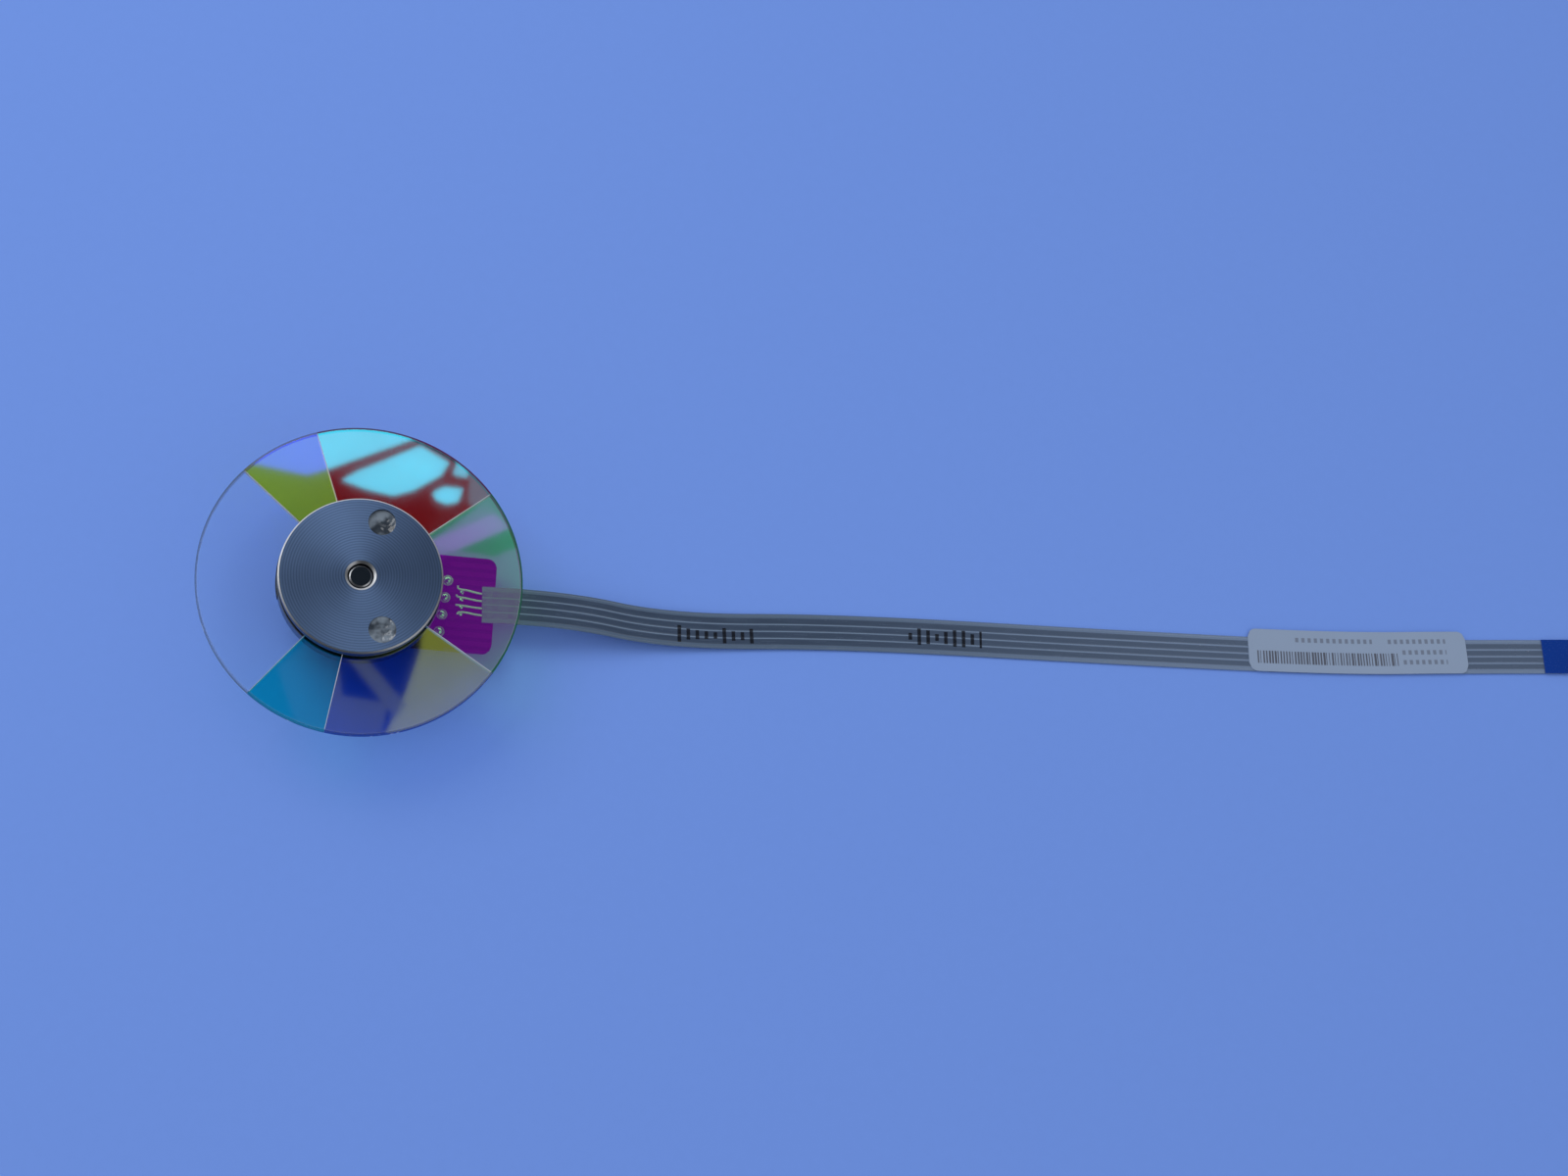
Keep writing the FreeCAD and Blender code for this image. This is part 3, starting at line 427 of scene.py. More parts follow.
@dataclass(frozen=True)
class Moulding:
    """A plain plastic, glue, tape or film, matt or glossy."""

    name: str
    colour: Colour
    roughness: float = 0.5
    bump: float = 0.00001
    scale: float = 4000.0
    alpha: float = 1.0
    coat: float = 0.0
    shade: float = 0.15

    def build(self) -> bpy.types.Material:
        """Returns the plastic's material."""
        finish = Finish(self.name)
        graph = finish.graph
        grain = finish.effect(Effects.grain(), Scale=self.scale, Dust=0.35)
        base = graph.mix(grain.outputs["Smudge"], scaled(self.colour, 1.0 - self.shade), self.colour)
        base = graph.mix(grain.outputs["Dust"], base, (0.7, 0.7, 0.7))
        rough = graph.math("MULTIPLY_ADD", grain.outputs["Grain"], 0.2, self.roughness - 0.1, clamp=True)
        finish.surface({
            "Base Color": base,
            "Roughness": rough,
            "Coat Weight": self.coat,
            "Alpha": self.alpha,
            "Normal": finish.bump(grain.outputs["Grain"], self.bump),
        })
        return finish.material


@dataclass(frozen=True)
class ClearGlue:
    """Cured clear glue in a metal pocket, painted with spots of highlight and shade that follow its rippled
    skin.
    """

    name: str
    dark: Colour = (0.035, 0.045, 0.06)
    light: Colour = (0.2, 0.24, 0.29)

    def build(self) -> bpy.types.Material:
        """Returns the glue's material."""
        finish = Finish(self.name)
        graph = finish.graph
        lumps = graph.noise(520.0, 2.5)
        # Painted highlight and painted shade: the dark and the light colour are laid in spots by the ripple's
        # noise.
        painted_light_patches = graph.ramp(lumps, 0.38, 0.62)
        finish.surface({
            "Base Color": graph.mix(painted_light_patches, self.dark, self.light),
            "Roughness": 0.12,
            "Coat Weight": 1.0,
            "Coat Roughness": 0.03,
            "IOR": 1.48,
            "Normal": finish.bump(lumps, 0.0006, 0.8),
        })
        return finish.material


@dataclass(frozen=True)
class Solder:
    """Reflowed solder with a slightly rippled skin."""

    name: str
    colour: Colour = (0.9, 0.91, 0.92)

    def build(self) -> bpy.types.Material:
        """Returns the solder's material."""
        finish = Finish(self.name)
        graph = finish.graph
        ripple = graph.noise(2200.0, 2.0)
        finish.surface({
            "Base Color": graph.mix(ripple, scaled(self.colour, 0.75), self.colour),
            "Metallic": 1.0,
            "Roughness": graph.math("MULTIPLY_ADD", ripple, 0.2, 0.08),
            "Normal": finish.bump(ripple, 0.00015, 0.7),
        })
        return finish.material


@dataclass(frozen=True)
class BoardLaminate:
    """The circuit board: dark solder mask over traces, with tinned pads at the joints."""

    name: str
    joints: tuple[tuple[float, float], ...]
    mask: Colour = (0.07, 0.0005, 0.09)
    trace: Colour = (0.14, 0.001, 0.16)
    pad: Colour = (0.55, 0.5, 0.42)
    pad_radius: float = 0.75 * MM
    trace_pitch: float = 1.21 * MM
    traces_from: float = 11.5 * MM

    def build(self) -> bpy.types.Material:
        """Returns the board's material."""
        finish = Finish(self.name)
        graph = finish.graph
        place = graph.place()
        across, along, _ = graph.split(place)
        grain = finish.effect(Effects.grain(), Scale=6000.0, Dust=0.4)
        weave = graph.add("ShaderNodeTexBrick", {"Vector": place, "Scale": 900.0, "Mortar Size": 0.08})
        wave = graph.math("SINE", graph.product(along, math.pi / self.trace_pitch))
        covered = graph.product(graph.ramp(graph.math("ABSOLUTE", wave), 0.55, 0.7),
                                graph.ramp(across, self.traces_from, self.traces_from + 0.5 * MM))
        base = graph.mix(covered, self.mask, self.trace)
        base = graph.mix(grain.outputs["Dust"], base, (0.4, 0.42, 0.42))
        level_place = graph.vector_math("MULTIPLY", place, (1.0, 1.0, 0.0)).outputs[0]
        near: list[Socket] = []
        for joint in self.joints:
            apart = graph.vector_math("DISTANCE", level_place, (*joint, 0.0)).outputs["Value"]
            near.append(graph.ramp(apart, self.pad_radius, self.pad_radius * 0.94))
        pads = graph.highest(near)
        base = graph.mix(pads, base, self.pad)
        height = graph.math("ADD", graph.product(covered, 0.8), graph.product(weave.outputs["Fac"], 0.15))
        finish.surface({
            "Base Color": base,
            "Metallic": graph.product(pads, 0.9),
            "Roughness": graph.math("MULTIPLY_ADD", grain.outputs["Smudge"], 0.15, 0.45),
            "Specular IOR Level": 0.04,
            "Normal": finish.bump(height, 0.00003),
        })
        return finish.material


@dataclass(frozen=True)
class CableFilm:
    """The flat cable: four tinned conductors laminated in thin film, with two plain ink marks. It is painted
    darker near the board, for the shade and dark reflection there, and paler further along.
    """

    name: str
    film: Colour = (0.09, 0.135, 0.21)
    # Paler colour that the film is painted further from the board, where the painted shade fades.
    painted_lit_film: Colour = (0.19, 0.26, 0.4)
    # The conductors' dark blue is painted reflection: the tinned strips are coloured as the dark surroundings
    # they mirror.
    conductor: Colour = (0.05, 0.075, 0.125)
    gap: Colour = (0.19, 0.26, 0.37)
    conductor_half: float = 0.39
    # How far the painted shade near the board fades into the paler colours.
    shade_fade_amount: float = 0.75
    stroke_pitch: float = 1.25
    marks: tuple[tuple[float, float, float], ...] = ((26.8, 37.6, -0.7), (59.0, 69.6, -0.1))

    def strokes(self, graph: Graph, along: Socket, across: Socket) -> Socket:
        """Returns the mask of the two rows of plain ink strokes."""
        ink: list[Socket] = []
        for start, end, middle_line in self.marks:
            count = graph.math("DIVIDE", graph.math("SUBTRACT", along, start), self.stroke_pitch)
            cell = graph.add("ShaderNodeCombineXYZ", {"X": graph.math("FLOOR", count), "Y": start})
            pick = graph.add("ShaderNodeTexWhiteNoise", {"Vector": cell.outputs[0]}, noise_dimensions="3D")
            stroke = graph.between(graph.math("FRACT", count), 0.14, 0.6, 0.06)
            here = graph.between(along, start, end, 0.1)
            reach = graph.math("MULTIPLY_ADD", pick.outputs["Value"], 0.8, 0.45)
            off = graph.math("ABSOLUTE", graph.math("SUBTRACT", across, middle_line))
            tall = graph.ramp(graph.math("SUBTRACT", reach, off), 0.0, 0.05)
            ink.append(graph.product(stroke, here, tall))
        return graph.highest(ink)

    def build(self) -> bpy.types.Material:
        """Returns the cable's material, whose UV map is in millimetres along and across."""
        finish = Finish(self.name)
        graph = finish.graph
        along, across, _ = graph.split(graph.add("ShaderNodeUVMap").outputs[0])
        grain = finish.effect(Effects.grain(), Scale=2500.0, Dust=0.4)
        apart = graph.math("ABSOLUTE", graph.math("SUBTRACT", graph.math("FRACT", across), 0.5))
        core = graph.ramp(apart, self.conductor_half + 0.06, self.conductor_half - 0.06)
        off_middle = graph.math("ABSOLUTE", across)
        band = graph.product(core, graph.ramp(off_middle, 2.08, 1.96))
        gaps = graph.product(graph.ramp(apart, 0.42, 0.49), graph.ramp(off_middle, 1.6, 1.4))
        long_way = graph.add("ShaderNodeCombineXYZ", {"X": graph.product(along, 0.12), "Y": across})
        streak = graph.noise(2.0, 3.0, long_way.outputs[0])
        metal = graph.mix(streak, self.conductor, scaled(self.conductor, 1.5))
        # Painted shade and dark reflection near the board: the cable is painted darker there, and paler from
        # 35 to 115 mm along.
        shade_fade = graph.product(graph.ramp(along, 35.0, 115.0), self.shade_fade_amount)
        metal = graph.mix(shade_fade, metal, scaled(self.painted_lit_film, 0.7))
        film = graph.mix(shade_fade, self.film, self.painted_lit_film)
        base = graph.mix(band, film, metal)
        base = graph.mix(gaps, base, graph.mix(shade_fade, self.gap, self.painted_lit_film))
        base = graph.mix(grain.outputs["Dust"], base, (0.8, 0.8, 0.82))
        ink = graph.product(self.strokes(graph, along, across), 0.9)
        base = graph.mix(ink, base, (0.008, 0.009, 0.014))
        height = graph.math("ADD", band, graph.product(grain.outputs["Grain"], 0.3))
        finish.surface({
            "Base Color": base,
            "Metallic": graph.product(band, 0.25),
            "Roughness": graph.math("MULTIPLY_ADD", streak, 0.12, 0.2),
            "Coat Weight": 0.4,
            "Normal": finish.bump(height, 0.00001),
        })
        return finish.material


@dataclass(frozen=True)
class LabelPaper:
    """The cable's paper label, with a band of plain bars and nothing written."""

    name: str
    # The paper's dim blue-grey is painted shade: the white label is coloured as it looks in the shade it lies
    # in.
    paper: Colour = (0.27, 0.35, 0.5)
    ink: Colour = (0.05, 0.05, 0.07)
    bars_from: float = 1.2
    bars_to: float = 22.0
    bar_pitch: float = 0.42
    dash_pitch: float = 0.92
    rows: tuple[tuple[float, float, float], ...] = (
        (6.8, 18.4, 2.25), (20.6, 29.4, 2.25), (22.6, 29.4, 0.65), (22.6, 29.4, -0.8))

    def dashes(self, graph: Graph, along: Socket, across: Socket) -> Socket:
        """Returns the mask of the rows of plain short dashes."""
        masks: list[Socket] = []
        for start, end, level in self.rows:
            count = graph.math("DIVIDE", graph.math("SUBTRACT", along, start), self.dash_pitch)
            dash = graph.between(graph.math("FRACT", count), 0.14, 0.72, 0.06)
            here = graph.between(along, start, end, 0.05)
            off = graph.math("ABSOLUTE", graph.math("SUBTRACT", across, level))
            masks.append(graph.product(dash, here, graph.ramp(off, 0.36, 0.3)))
        return graph.highest(masks)

    def build(self) -> bpy.types.Material:
        """Returns the label's material, whose UV map is in millimetres along and across."""
        finish = Finish(self.name)
        graph = finish.graph
        along, across, _ = graph.split(graph.add("ShaderNodeUVMap").outputs[0])
        grain = finish.effect(Effects.grain(), Scale=5000.0, Dust=0.2)
        strips = graph.math("DIVIDE", along, self.bar_pitch)
        cell = graph.add("ShaderNodeCombineXYZ", {"X": graph.math("FLOOR", strips)})
        pick = graph.add("ShaderNodeTexWhiteNoise", {"Vector": cell.outputs[0]}, noise_dimensions="3D")
        width = graph.math("MULTIPLY_ADD", pick.outputs["Value"], 0.55, 0.25)
        bar = graph.math("LESS_THAN", graph.math("FRACT", strips), width)
        inked = graph.product(bar, graph.between(along, self.bars_from, self.bars_to, 0.05),
                              graph.between(across, -1.35, 0.55, 0.05))
        base = graph.mix(grain.outputs["Smudge"], scaled(self.paper, 0.93), self.paper)
        base = graph.mix(graph.product(inked, 0.85), base, self.ink)
        base = graph.mix(graph.product(self.dashes(graph, along, across), 0.5), base, self.ink)
        finish.surface({
            "Base Color": base,
            "Roughness": 0.55,
            "Normal": finish.bump(grain.outputs["Grain"], 0.00001),
        })
        return finish.material


def mesh_piece(name: str, points: list, faces: list, material: bpy.types.Material,
               uvs: list | None = None) -> bpy.types.Object:
    """Makes a mesh object in the part's frame.

    Args:
        name: the piece's name.
        points: its vertices, in metres.
        faces: its faces, as vertex numbers.
        material: its material.
        uvs: a texture place for each vertex, or None.

    Returns:
        The new object.
    """
    mesh = bpy.data.meshes.new(name)
    mesh.from_pydata([tuple(point) for point in points], [], faces)
    if uvs is not None:
        layer = mesh.uv_layers.new(name="UVMap")
        for loop in mesh.loops:
            layer.data[loop.index].uv = uvs[loop.vertex_index]
    mesh.materials.append(material)
    mesh.validate()
    mesh.update()
    piece = bpy.data.objects.new(name, mesh)
    bpy.context.scene.collection.objects.link(piece)
    return piece


def smooth_line(corners: list[Vector], pieces: int) -> list[Vector]:
    """Returns points on a smooth line through the corners, with so many steps between two of them."""
    line: list[Vector] = []
    count = len(corners)
    for index in range(count - 1):
        before = corners[max(index - 1, 0)]
        here = corners[index]
        there = corners[index + 1]
        after = corners[min(index + 2, count - 1)]
        for step in range(pieces):
            share = step / pieces
            square = share ** 2
            cube = share ** 3
            leave = (there - before) * 0.5
            arrive = (after - here) * 0.5
            line.append(here * (2 * cube - 3 * square + 1) + leave * (cube - 2 * square + share)
                        + there * (3 * square - 2 * cube) + arrive * (cube - square))
    line.append(corners[-1])
    return line


def sideways(heading: Vector) -> Vector:
    """Returns the level direction across a heading."""
    return Vector((0.0, 0.0, 1.0)).cross(heading).normalized()


def sweep(points: list[Vector], faces: list[tuple[int, ...]], steps: list[tuple[Vector, Vector]],
          section: list[tuple[float, float]]) -> None:
    """Adds a closed section, swept along a line, to a mesh's points and faces.

    Args:
        points: the mesh's points, which the new ones are added to.
        faces: the mesh's faces, which the new ones are added to.
        steps: the line's places and directions.
        section: the section's outline, across and up, in metres.
    """
    first = len(points)
    count = len(section)
    for place, heading in steps:
        side = sideways(heading)
        up = heading.cross(side)
        points.extend(place + side * across + up * rise for across, rise in section)
    last = len(points) - count
    faces.append(tuple(reversed(range(first, first + count))))
    faces.append(tuple(range(last, last + count)))
    for ring in range(first, last, count):
        for corner in range(count):
            following = (corner + 1) % count
            faces.append((ring + corner, ring + following, ring + count + following, ring + count + corner))


def dress(material: bpy.types.Material, *nodes: str) -> None:
    """Gives CAD nodes a material in all their slots."""
    for node in nodes:
        piece = bpy.data.objects[node]
        piece.data.materials.clear()
        piece.data.materials.append(material)
        log.info("dressed %s with %s", node, material.name)


@dataclass
class FilterRing:
    """The six coated panes, their glue rings, and what each pane lets through and mirrors."""

    clear: CoatedGlass = CoatedGlass(
        "clear_pane", through=(0.97, 0.975, 0.97), mirrored=(0.01, 0.01, 0.0125), rim=(0.2, 0.27, 0.34),
        lip=(0.1, 0.16, 0.32), start=140.0, end=232.0, seam_cover=0.2, lip_cover=0.45)
    yellow: CoatedGlass = CoatedGlass(
        "yellow_pane", through=(1.0, 1.0, 0.045), mirrored=(0.02, 0.04, 0.9), rim=(0.3, 0.33, 0.05),
        lip=(0.12, 0.15, 0.12), start=110.0, end=140.0, lip_cover=0.7)
    red: CoatedGlass = CoatedGlass(
        "red_pane", through=(1.0, 0.012, 0.006), mirrored=(0.03, 0.75, 1.0), rim=(0.2, 0.02, 0.06),
        lip=(0.07, 0.007, 0.06), start=40.0, end=110.0)
    green: CoatedGlass = CoatedGlass(
        "green_pane", through=(0.32, 1.0, 0.24), mirrored=(0.2, 0.008, 0.36), rim=(0.03, 0.25, 0.12),
        lip=(0.01, 0.09, 0.05), start=-32.0, end=40.0)
    blue: CoatedGlass = CoatedGlass(
        "blue_pane", through=(0.01, 0.12, 0.56), mirrored=(0.38, 0.42, 0.03), rim=(0.02, 0.07, 0.4),
        lip=(0.01, 0.03, 0.2), start=262.0, end=328.0, lip_cover=0.5)
    cyan: CoatedGlass = CoatedGlass(
        "cyan_pane", through=(0.02, 0.72, 0.64), mirrored=(0.11, 0.03, 0.03), rim=(0.02, 0.25, 0.4),
        lip=(0.01, 0.14, 0.25), start=232.0, end=262.0, lip_cover=0.5)

    def build(self) -> None:
        """Dresses the panes and the glue."""
        for pane, node in ((self.clear, "filter_clear"), (self.yellow, "filter_yellow"),
                           (self.red, "filter_red"), (self.green, "filter_green"),
                           (self.cyan, "filter_cyan"), (self.blue, "filter_blue")):
            dress(pane.build(), node)
        # Black glue rings; the black band that the upper ring shows under the cap also stands for the shade
        # in the gap between cap and glass, so it is partly painted shade.
        glue = Moulding("black_glue_and_shade", (0.012, 0.012, 0.018), 0.35, scale=2500.0).build()
        dress(glue, "lower_adhesive_ring", "upper_adhesive_ring")


@dataclass
class SpindleMotor:
    """The turned, drawn and wound pieces of the motor, and the balance cap on it."""

    joints: tuple[tuple[float, float], ...] = tuple(
        ((11.33 + 0.22 * (step - 1.5)) * MM, (-0.55 + 2.42 * (step - 1.5)) * MM) for step in range(4))
    tail_level: float = 4.33 * MM
    tail_radius: float = 0.14 * MM
    tail_sides: int = 8
    bend_steps: int = 8
    tail_routes: tuple[tuple[tuple[float, float], ...], ...] = (
        ((16.9, 1.5), (15.6, 1.62), (14.3, 1.86), (13.5, 1.9), (13.1, 2.05), (13.05, 2.4)),
        ((16.9, 0.5), (15.6, 0.55), (14.4, 0.72), (13.4, 0.82), (13.05, 0.9), (12.95, 1.1)),
        ((16.9, -0.5), (15.6, -0.47), (14.3, -0.38), (13.4, -0.32), (12.9, -0.3)),
        ((16.9, -1.5), (15.6, -1.42), (14.5, -1.28), (13.7, -1.25), (13.3, -1.38), (13.2, -1.6)),
    )

    def build(self) -> None:
        """Dresses the motor's nodes."""
        for recipe, nodes in (
            # The cap paints light into its colour: a highlight on its sloped edges, and shade on its upright
            # faces and in its grooves.
            # The cap's dark blue colour is painted reflection of its blue, dim surroundings; the turned metal
            # itself is pale.
            (Metal("turned_cap", (0.178, 0.29, 0.54), 0.35, 0.38, pitch=0.00036, tone=0.1, wear=0.25,
                   chamfer_highlight=0.6, side=0.35, rings=0.3, dust=0.0, turn=0.9), ("balance_cap",)),
            (ClearGlue("clear_balance_glue"), ("balance_glue_upper", "balance_glue_lower")),
            (Metal("drawn_cup", (0.22, 0.27, 0.34), 0.45, 0.4, pitch=0.0005, depth=0.000002, tone=0.08),
             ("rotor_cup",)),
            # The hub is painted near-black for the shade in the gap between the shaft and the bore.
            (Metal("shade_black_hub", (0.05, 0.05, 0.055), 0.4), ("rotor_hub",)),
            (Metal("turned_brass", (0.4, 0.31, 0.16), 0.3, 0.3, pitch=0.0003, depth=0.000003),
             ("bearing_sleeve",)),
            (Metal("machined_plate", (0.5, 0.52, 0.55), 0.36, 0.5, pitch=0.0004, depth=0.000005),
             ("base_plate",)),
            # The shaft paints a highlight on its sloped edges.
            (Metal("ground_shaft", (0.03, 0.042, 0.06), 0.3, 0.0, pitch=0.0003, chamfer_highlight=0.6), ("shaft",)),
            (Metal("bearing_rings", (0.58, 0.6, 0.62), 0.16, 0.3, pitch=0.0002, tone=0.04),
             ("upper_bearing_inner_ring", "lower_bearing_inner_ring",
              "upper_bearing_outer_ring", "lower_bearing_outer_ring")),
            (Metal("polished_balls", (0.7, 0.71, 0.73), 0.08, tone=0.03),
             ("upper_bearing_balls", "lower_bearing_balls")),
            (Metal("pressed_shields", (0.5, 0.5, 0.48), 0.3, tone=0.08), ("bearing_shields",)),
            (Metal("oiled_spring_steel", (0.32, 0.32, 0.34), 0.28, tone=0.15),
             ("preload_spring", "retaining_clip")),
            (Moulding("cage_polymer", (0.62, 0.52, 0.3), 0.45), ("upper_bearing_cage", "lower_bearing_cage")),
            (Moulding("bonded_magnet", (0.06, 0.06, 0.065), 0.6, 0.00003, 3000.0), ("ring_magnet",)),
            (Moulding("matt_tape", (0.012, 0.013, 0.02), 0.5, 0.00001, 5000.0), ("index_tape",)),
            (Metal("stamped_core", (0.28, 0.28, 0.3), 0.4, pitch=0.0005, depth=0.00002, tone=0.12),
             ("stator_core",)),
            (Moulding("insulator_polymer", (0.75, 0.72, 0.62), 0.45), ("insulator_upper", "insulator_lower")),
            (Moulding("enamelled_wire", (0.42, 0.13, 0.035), 0.25, 0.00004, 2500.0, coat=0.6),
             ("stator_coils", "coil_leads")),
            (Solder("motor_solder"), ("motor_solder_joints", "cable_solder_joints")),
            (BoardLaminate("board_laminate", self.joints), ("circuit_board",)),
            (Metal("tinned_strips", (0.9, 0.89, 0.87), 0.3, tone=0.05, metallic=0.6), ("contact_strips",)),
        ):
            dress(recipe.build(), *nodes)
        self.tails(Metal("tinned_tails", (0.95, 0.72, 0.76), 0.3, tone=0.05, metallic=0.5).build())

    def tails(self, tinned: bpy.types.Material) -> None:
        """Makes the four bare wire ends that lie on the board, each with its own bend and hook.

        Args:
            tinned: the material of tinned copper.
        """
        points: list[Vector] = []
        faces: list[tuple[int, ...]] = []
        turns = [math.tau * step / self.tail_sides for step in range(self.tail_sides)]
        section = [(self.tail_radius * math.cos(turn), self.tail_radius * math.sin(turn)) for turn in turns]
        for route in self.tail_routes:
            corners = [Vector((across * MM, along * MM, self.tail_level)) for across, along in route]
            line = smooth_line(corners, self.bend_steps)
            headings = [(after - before).normalized()
                        for before, after in zip(line[:1] + line, line[1:] + line[-1:])]
            sweep(points, faces, list(zip(line, headings)), section)
        tails = mesh_piece("bare_wire_tails", points, faces, tinned)
        for face in tails.data.polygons:
            face.use_smooth = True
        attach(tails, Body.STATOR.value)
        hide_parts("cable_tails")
        log.info("made %s", tails.name)


@dataclass
class FlatCable:
    """The four-way flat cable, on its route from the board to its free end, with films and label."""

    width: float = 5.0 * MM
    thick: float = 0.3 * MM
    film_thick: float = 0.15 * MM
    board_film: float = 5.0 * MM
    end_film: float = 6.0 * MM
    contact: float = 3.6 * MM
    label_from: float = 107.9 * MM
    label_length: float = 32.4 * MM
    label_width: float = 6.2 * MM
    label_offset: float = 0.6 * MM
    label_thick: float = 0.1 * MM
    cable_start: float = 16.4 * MM
    cable_reach: float = 153.6 * MM
    board_top: float = 4.2 * MM
    label_corner: float = 1.2 * MM
    cable_steps: int = 220
    board_film_steps: int = 16
    end_film_steps: int = 12
    label_steps: int = 90
    cord_steps: int = 80
    section_steps: int = 25
    corners: tuple[tuple[float, float, float], ...] = (
        (0.0, 0.0, 1.0), (0.069, 0.6, 1.0), (0.1667, -0.05, 0.0952), (0.323, 2.35, 0.0),
        (0.577, 3.7, 0.0), (0.785, 5.1, 0.0), (0.909, 7.1, 0.0), (1.0, 8.35, 0.0),
    )

    def route(self) -> list[Vector]:
        """Returns the corners of the route: off the board, down to the table and along it."""
        return [Vector((self.cable_start + self.cable_reach * share, along * MM,
                        self.board_top * rise + self.thick / 2)) for share, along, rise in self.corners]

    def path(self) -> list[Vector]:
        """Returns points along the smooth spline of the route."""
        curve = bpy.data.curves.new("cable_route", "CURVE")
        curve.dimensions = "3D"
        curve.resolution_u = 16
        spline = curve.splines.new("NURBS")
        spline.points.add(len(self.corners) - 1)
        for point, place in zip(spline.points, self.route()):
            point.co = (*place, 1.0)
        spline.order_u = 3
        spline.use_endpoint_u = True
        holder = bpy.data.objects.new("cable_route", curve)
        mesh = bpy.data.meshes.new_from_object(holder)
        points = [vertex.co.copy() for vertex in mesh.vertices]
        bpy.data.meshes.remove(mesh)
        bpy.data.objects.remove(holder)
        bpy.data.curves.remove(curve)
        return points

    @staticmethod
    def length_along(points: list[Vector]) -> list[float]:
        """Returns each point's distance along the path."""
        run = [0.0]
        for before, after in zip(points, points[1:]):
            run.append(run[-1] + (after - before).length)
        return run

    def stretch(self, points: list[Vector], start: float, end: float,
                pieces: int) -> list[tuple[Vector, Vector]]:
        """Returns even points and directions on the path, which runs on straight past its end.

        Args:
            points: the path.
            start: where the stretch begins, in metres along it.
            end: where it ends.
            pieces: how many steps it has.

        Returns:
            A place and a direction for each step.
        """
        run = self.length_along(points)
        made = []
        for step in range(pieces + 1):
            wanted = start + (end - start) * step / pieces
            index = max(i for i in range(len(points) - 1) if run[i] <= wanted or i == 0)
            heading = (points[index + 1] - points[index]).normalized()
            before = points[index] - points[max(index - 1, 0)]
            after = points[min(index + 2, len(points) - 1)] - points[index + 1]
            coming = before.normalized() if before.length else heading
            going = after.normalized() if after.length else heading
            share = (wanted - run[index]) / (run[index + 1] - run[index])
            smooth = heading + coming * 0.5 * (1 - share) + going * 0.5 * share
            made.append((points[index] + heading * (wanted - run[index]), smooth.normalized()))
        return made

    def ribbon(self, name: str, steps: list[tuple[Vector, Vector]], section: list[tuple[float, float]],
               material: bpy.types.Material) -> bpy.types.Object:
        """Sweeps a closed section along a stretch of the path.

        Args:
            name: the piece's name.
            steps: the stretch's places and directions.
            section: the section's outline, across and up, in metres.
            material: the piece's material.

        Returns:
            The new piece.
        """
        points: list[Vector] = []
        faces: list[tuple[int, ...]] = []
        sweep(points, faces, steps, section)
        uvs: list[tuple[float, float]] = []
        run = 0.0
        for index, (place, _) in enumerate(steps):
            run += (place - steps[max(index - 1, 0)][0]).length / MM
            uvs.extend((run, across / MM) for across, _ in section)
        return mesh_piece(name, points, faces, material, uvs)

    def film_section(self) -> list[tuple[float, float]]:
        """Returns the flat section of a stiffener on top of the cable."""
        half = self.width / 2
        low = self.thick / 2
        high = low + self.film_thick
        return [(-half, low), (half, low), (half, high), (-half, high)]

    def cable_section(self) -> list[tuple[float, float]]:
        """Returns the laminated section: thin edges and a low ridge over each conductor."""
        half = self.width / 2
        top = []
        for step in range(-self.section_steps, self.section_steps + 1):
            across = half * step / self.section_steps
            ridge = abs(abs(across / MM) % 1.0 - 0.5) < 0.34 and abs(across) < 2.0 * MM
            thinned = abs(across) > half - 0.3 * MM
            rise = self.thick * (0.5 if ridge else (0.3 if thinned else 0.45))
            top.append((across, rise))
        return [(across, -rise) for across, rise in top] + list(reversed(top))

    def build(self) -> None:
        points = self.path()
        length = self.length_along(points)[-1]
        film = CableFilm("laminated_cable").build()
        cable_run = self.stretch(points, 0.0, length, self.cable_steps)
        cable = self.ribbon("flat_ribbon", cable_run, self.cable_section(), film)
        clear = Moulding("clear_stiffener", (0.22, 0.27, 0.31), 0.2, alpha=0.25, coat=0.3).build()
        board_run = self.stretch(points, 0.0, self.board_film, self.board_film_steps)
        board_film = self.ribbon("board_end_film", board_run, self.film_section(), clear)
        blue = Moulding("blue_stiffener", (0.001, 0.04, 0.3), 0.25, coat=0.15).build()
        end_start = length - (self.end_film - self.contact)
        end_run = self.stretch(points, end_start, end_start + self.end_film, self.end_film_steps)
        end_film = self.ribbon("free_end_film", end_run, self.film_section(), blue)
        label = self.label(points)
        for piece, node, slot in ((cable, "flat_cable", "cable_film"),
                                  (board_film, "board_stiffener", "clear_film"),
                                  (end_film, "end_stiffener", "blue_film"),
                                  (label, "cable_label", "label_paper")):
            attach(piece, Body.STATOR.value)
            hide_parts(node)
            log.info("made %s", piece.name)

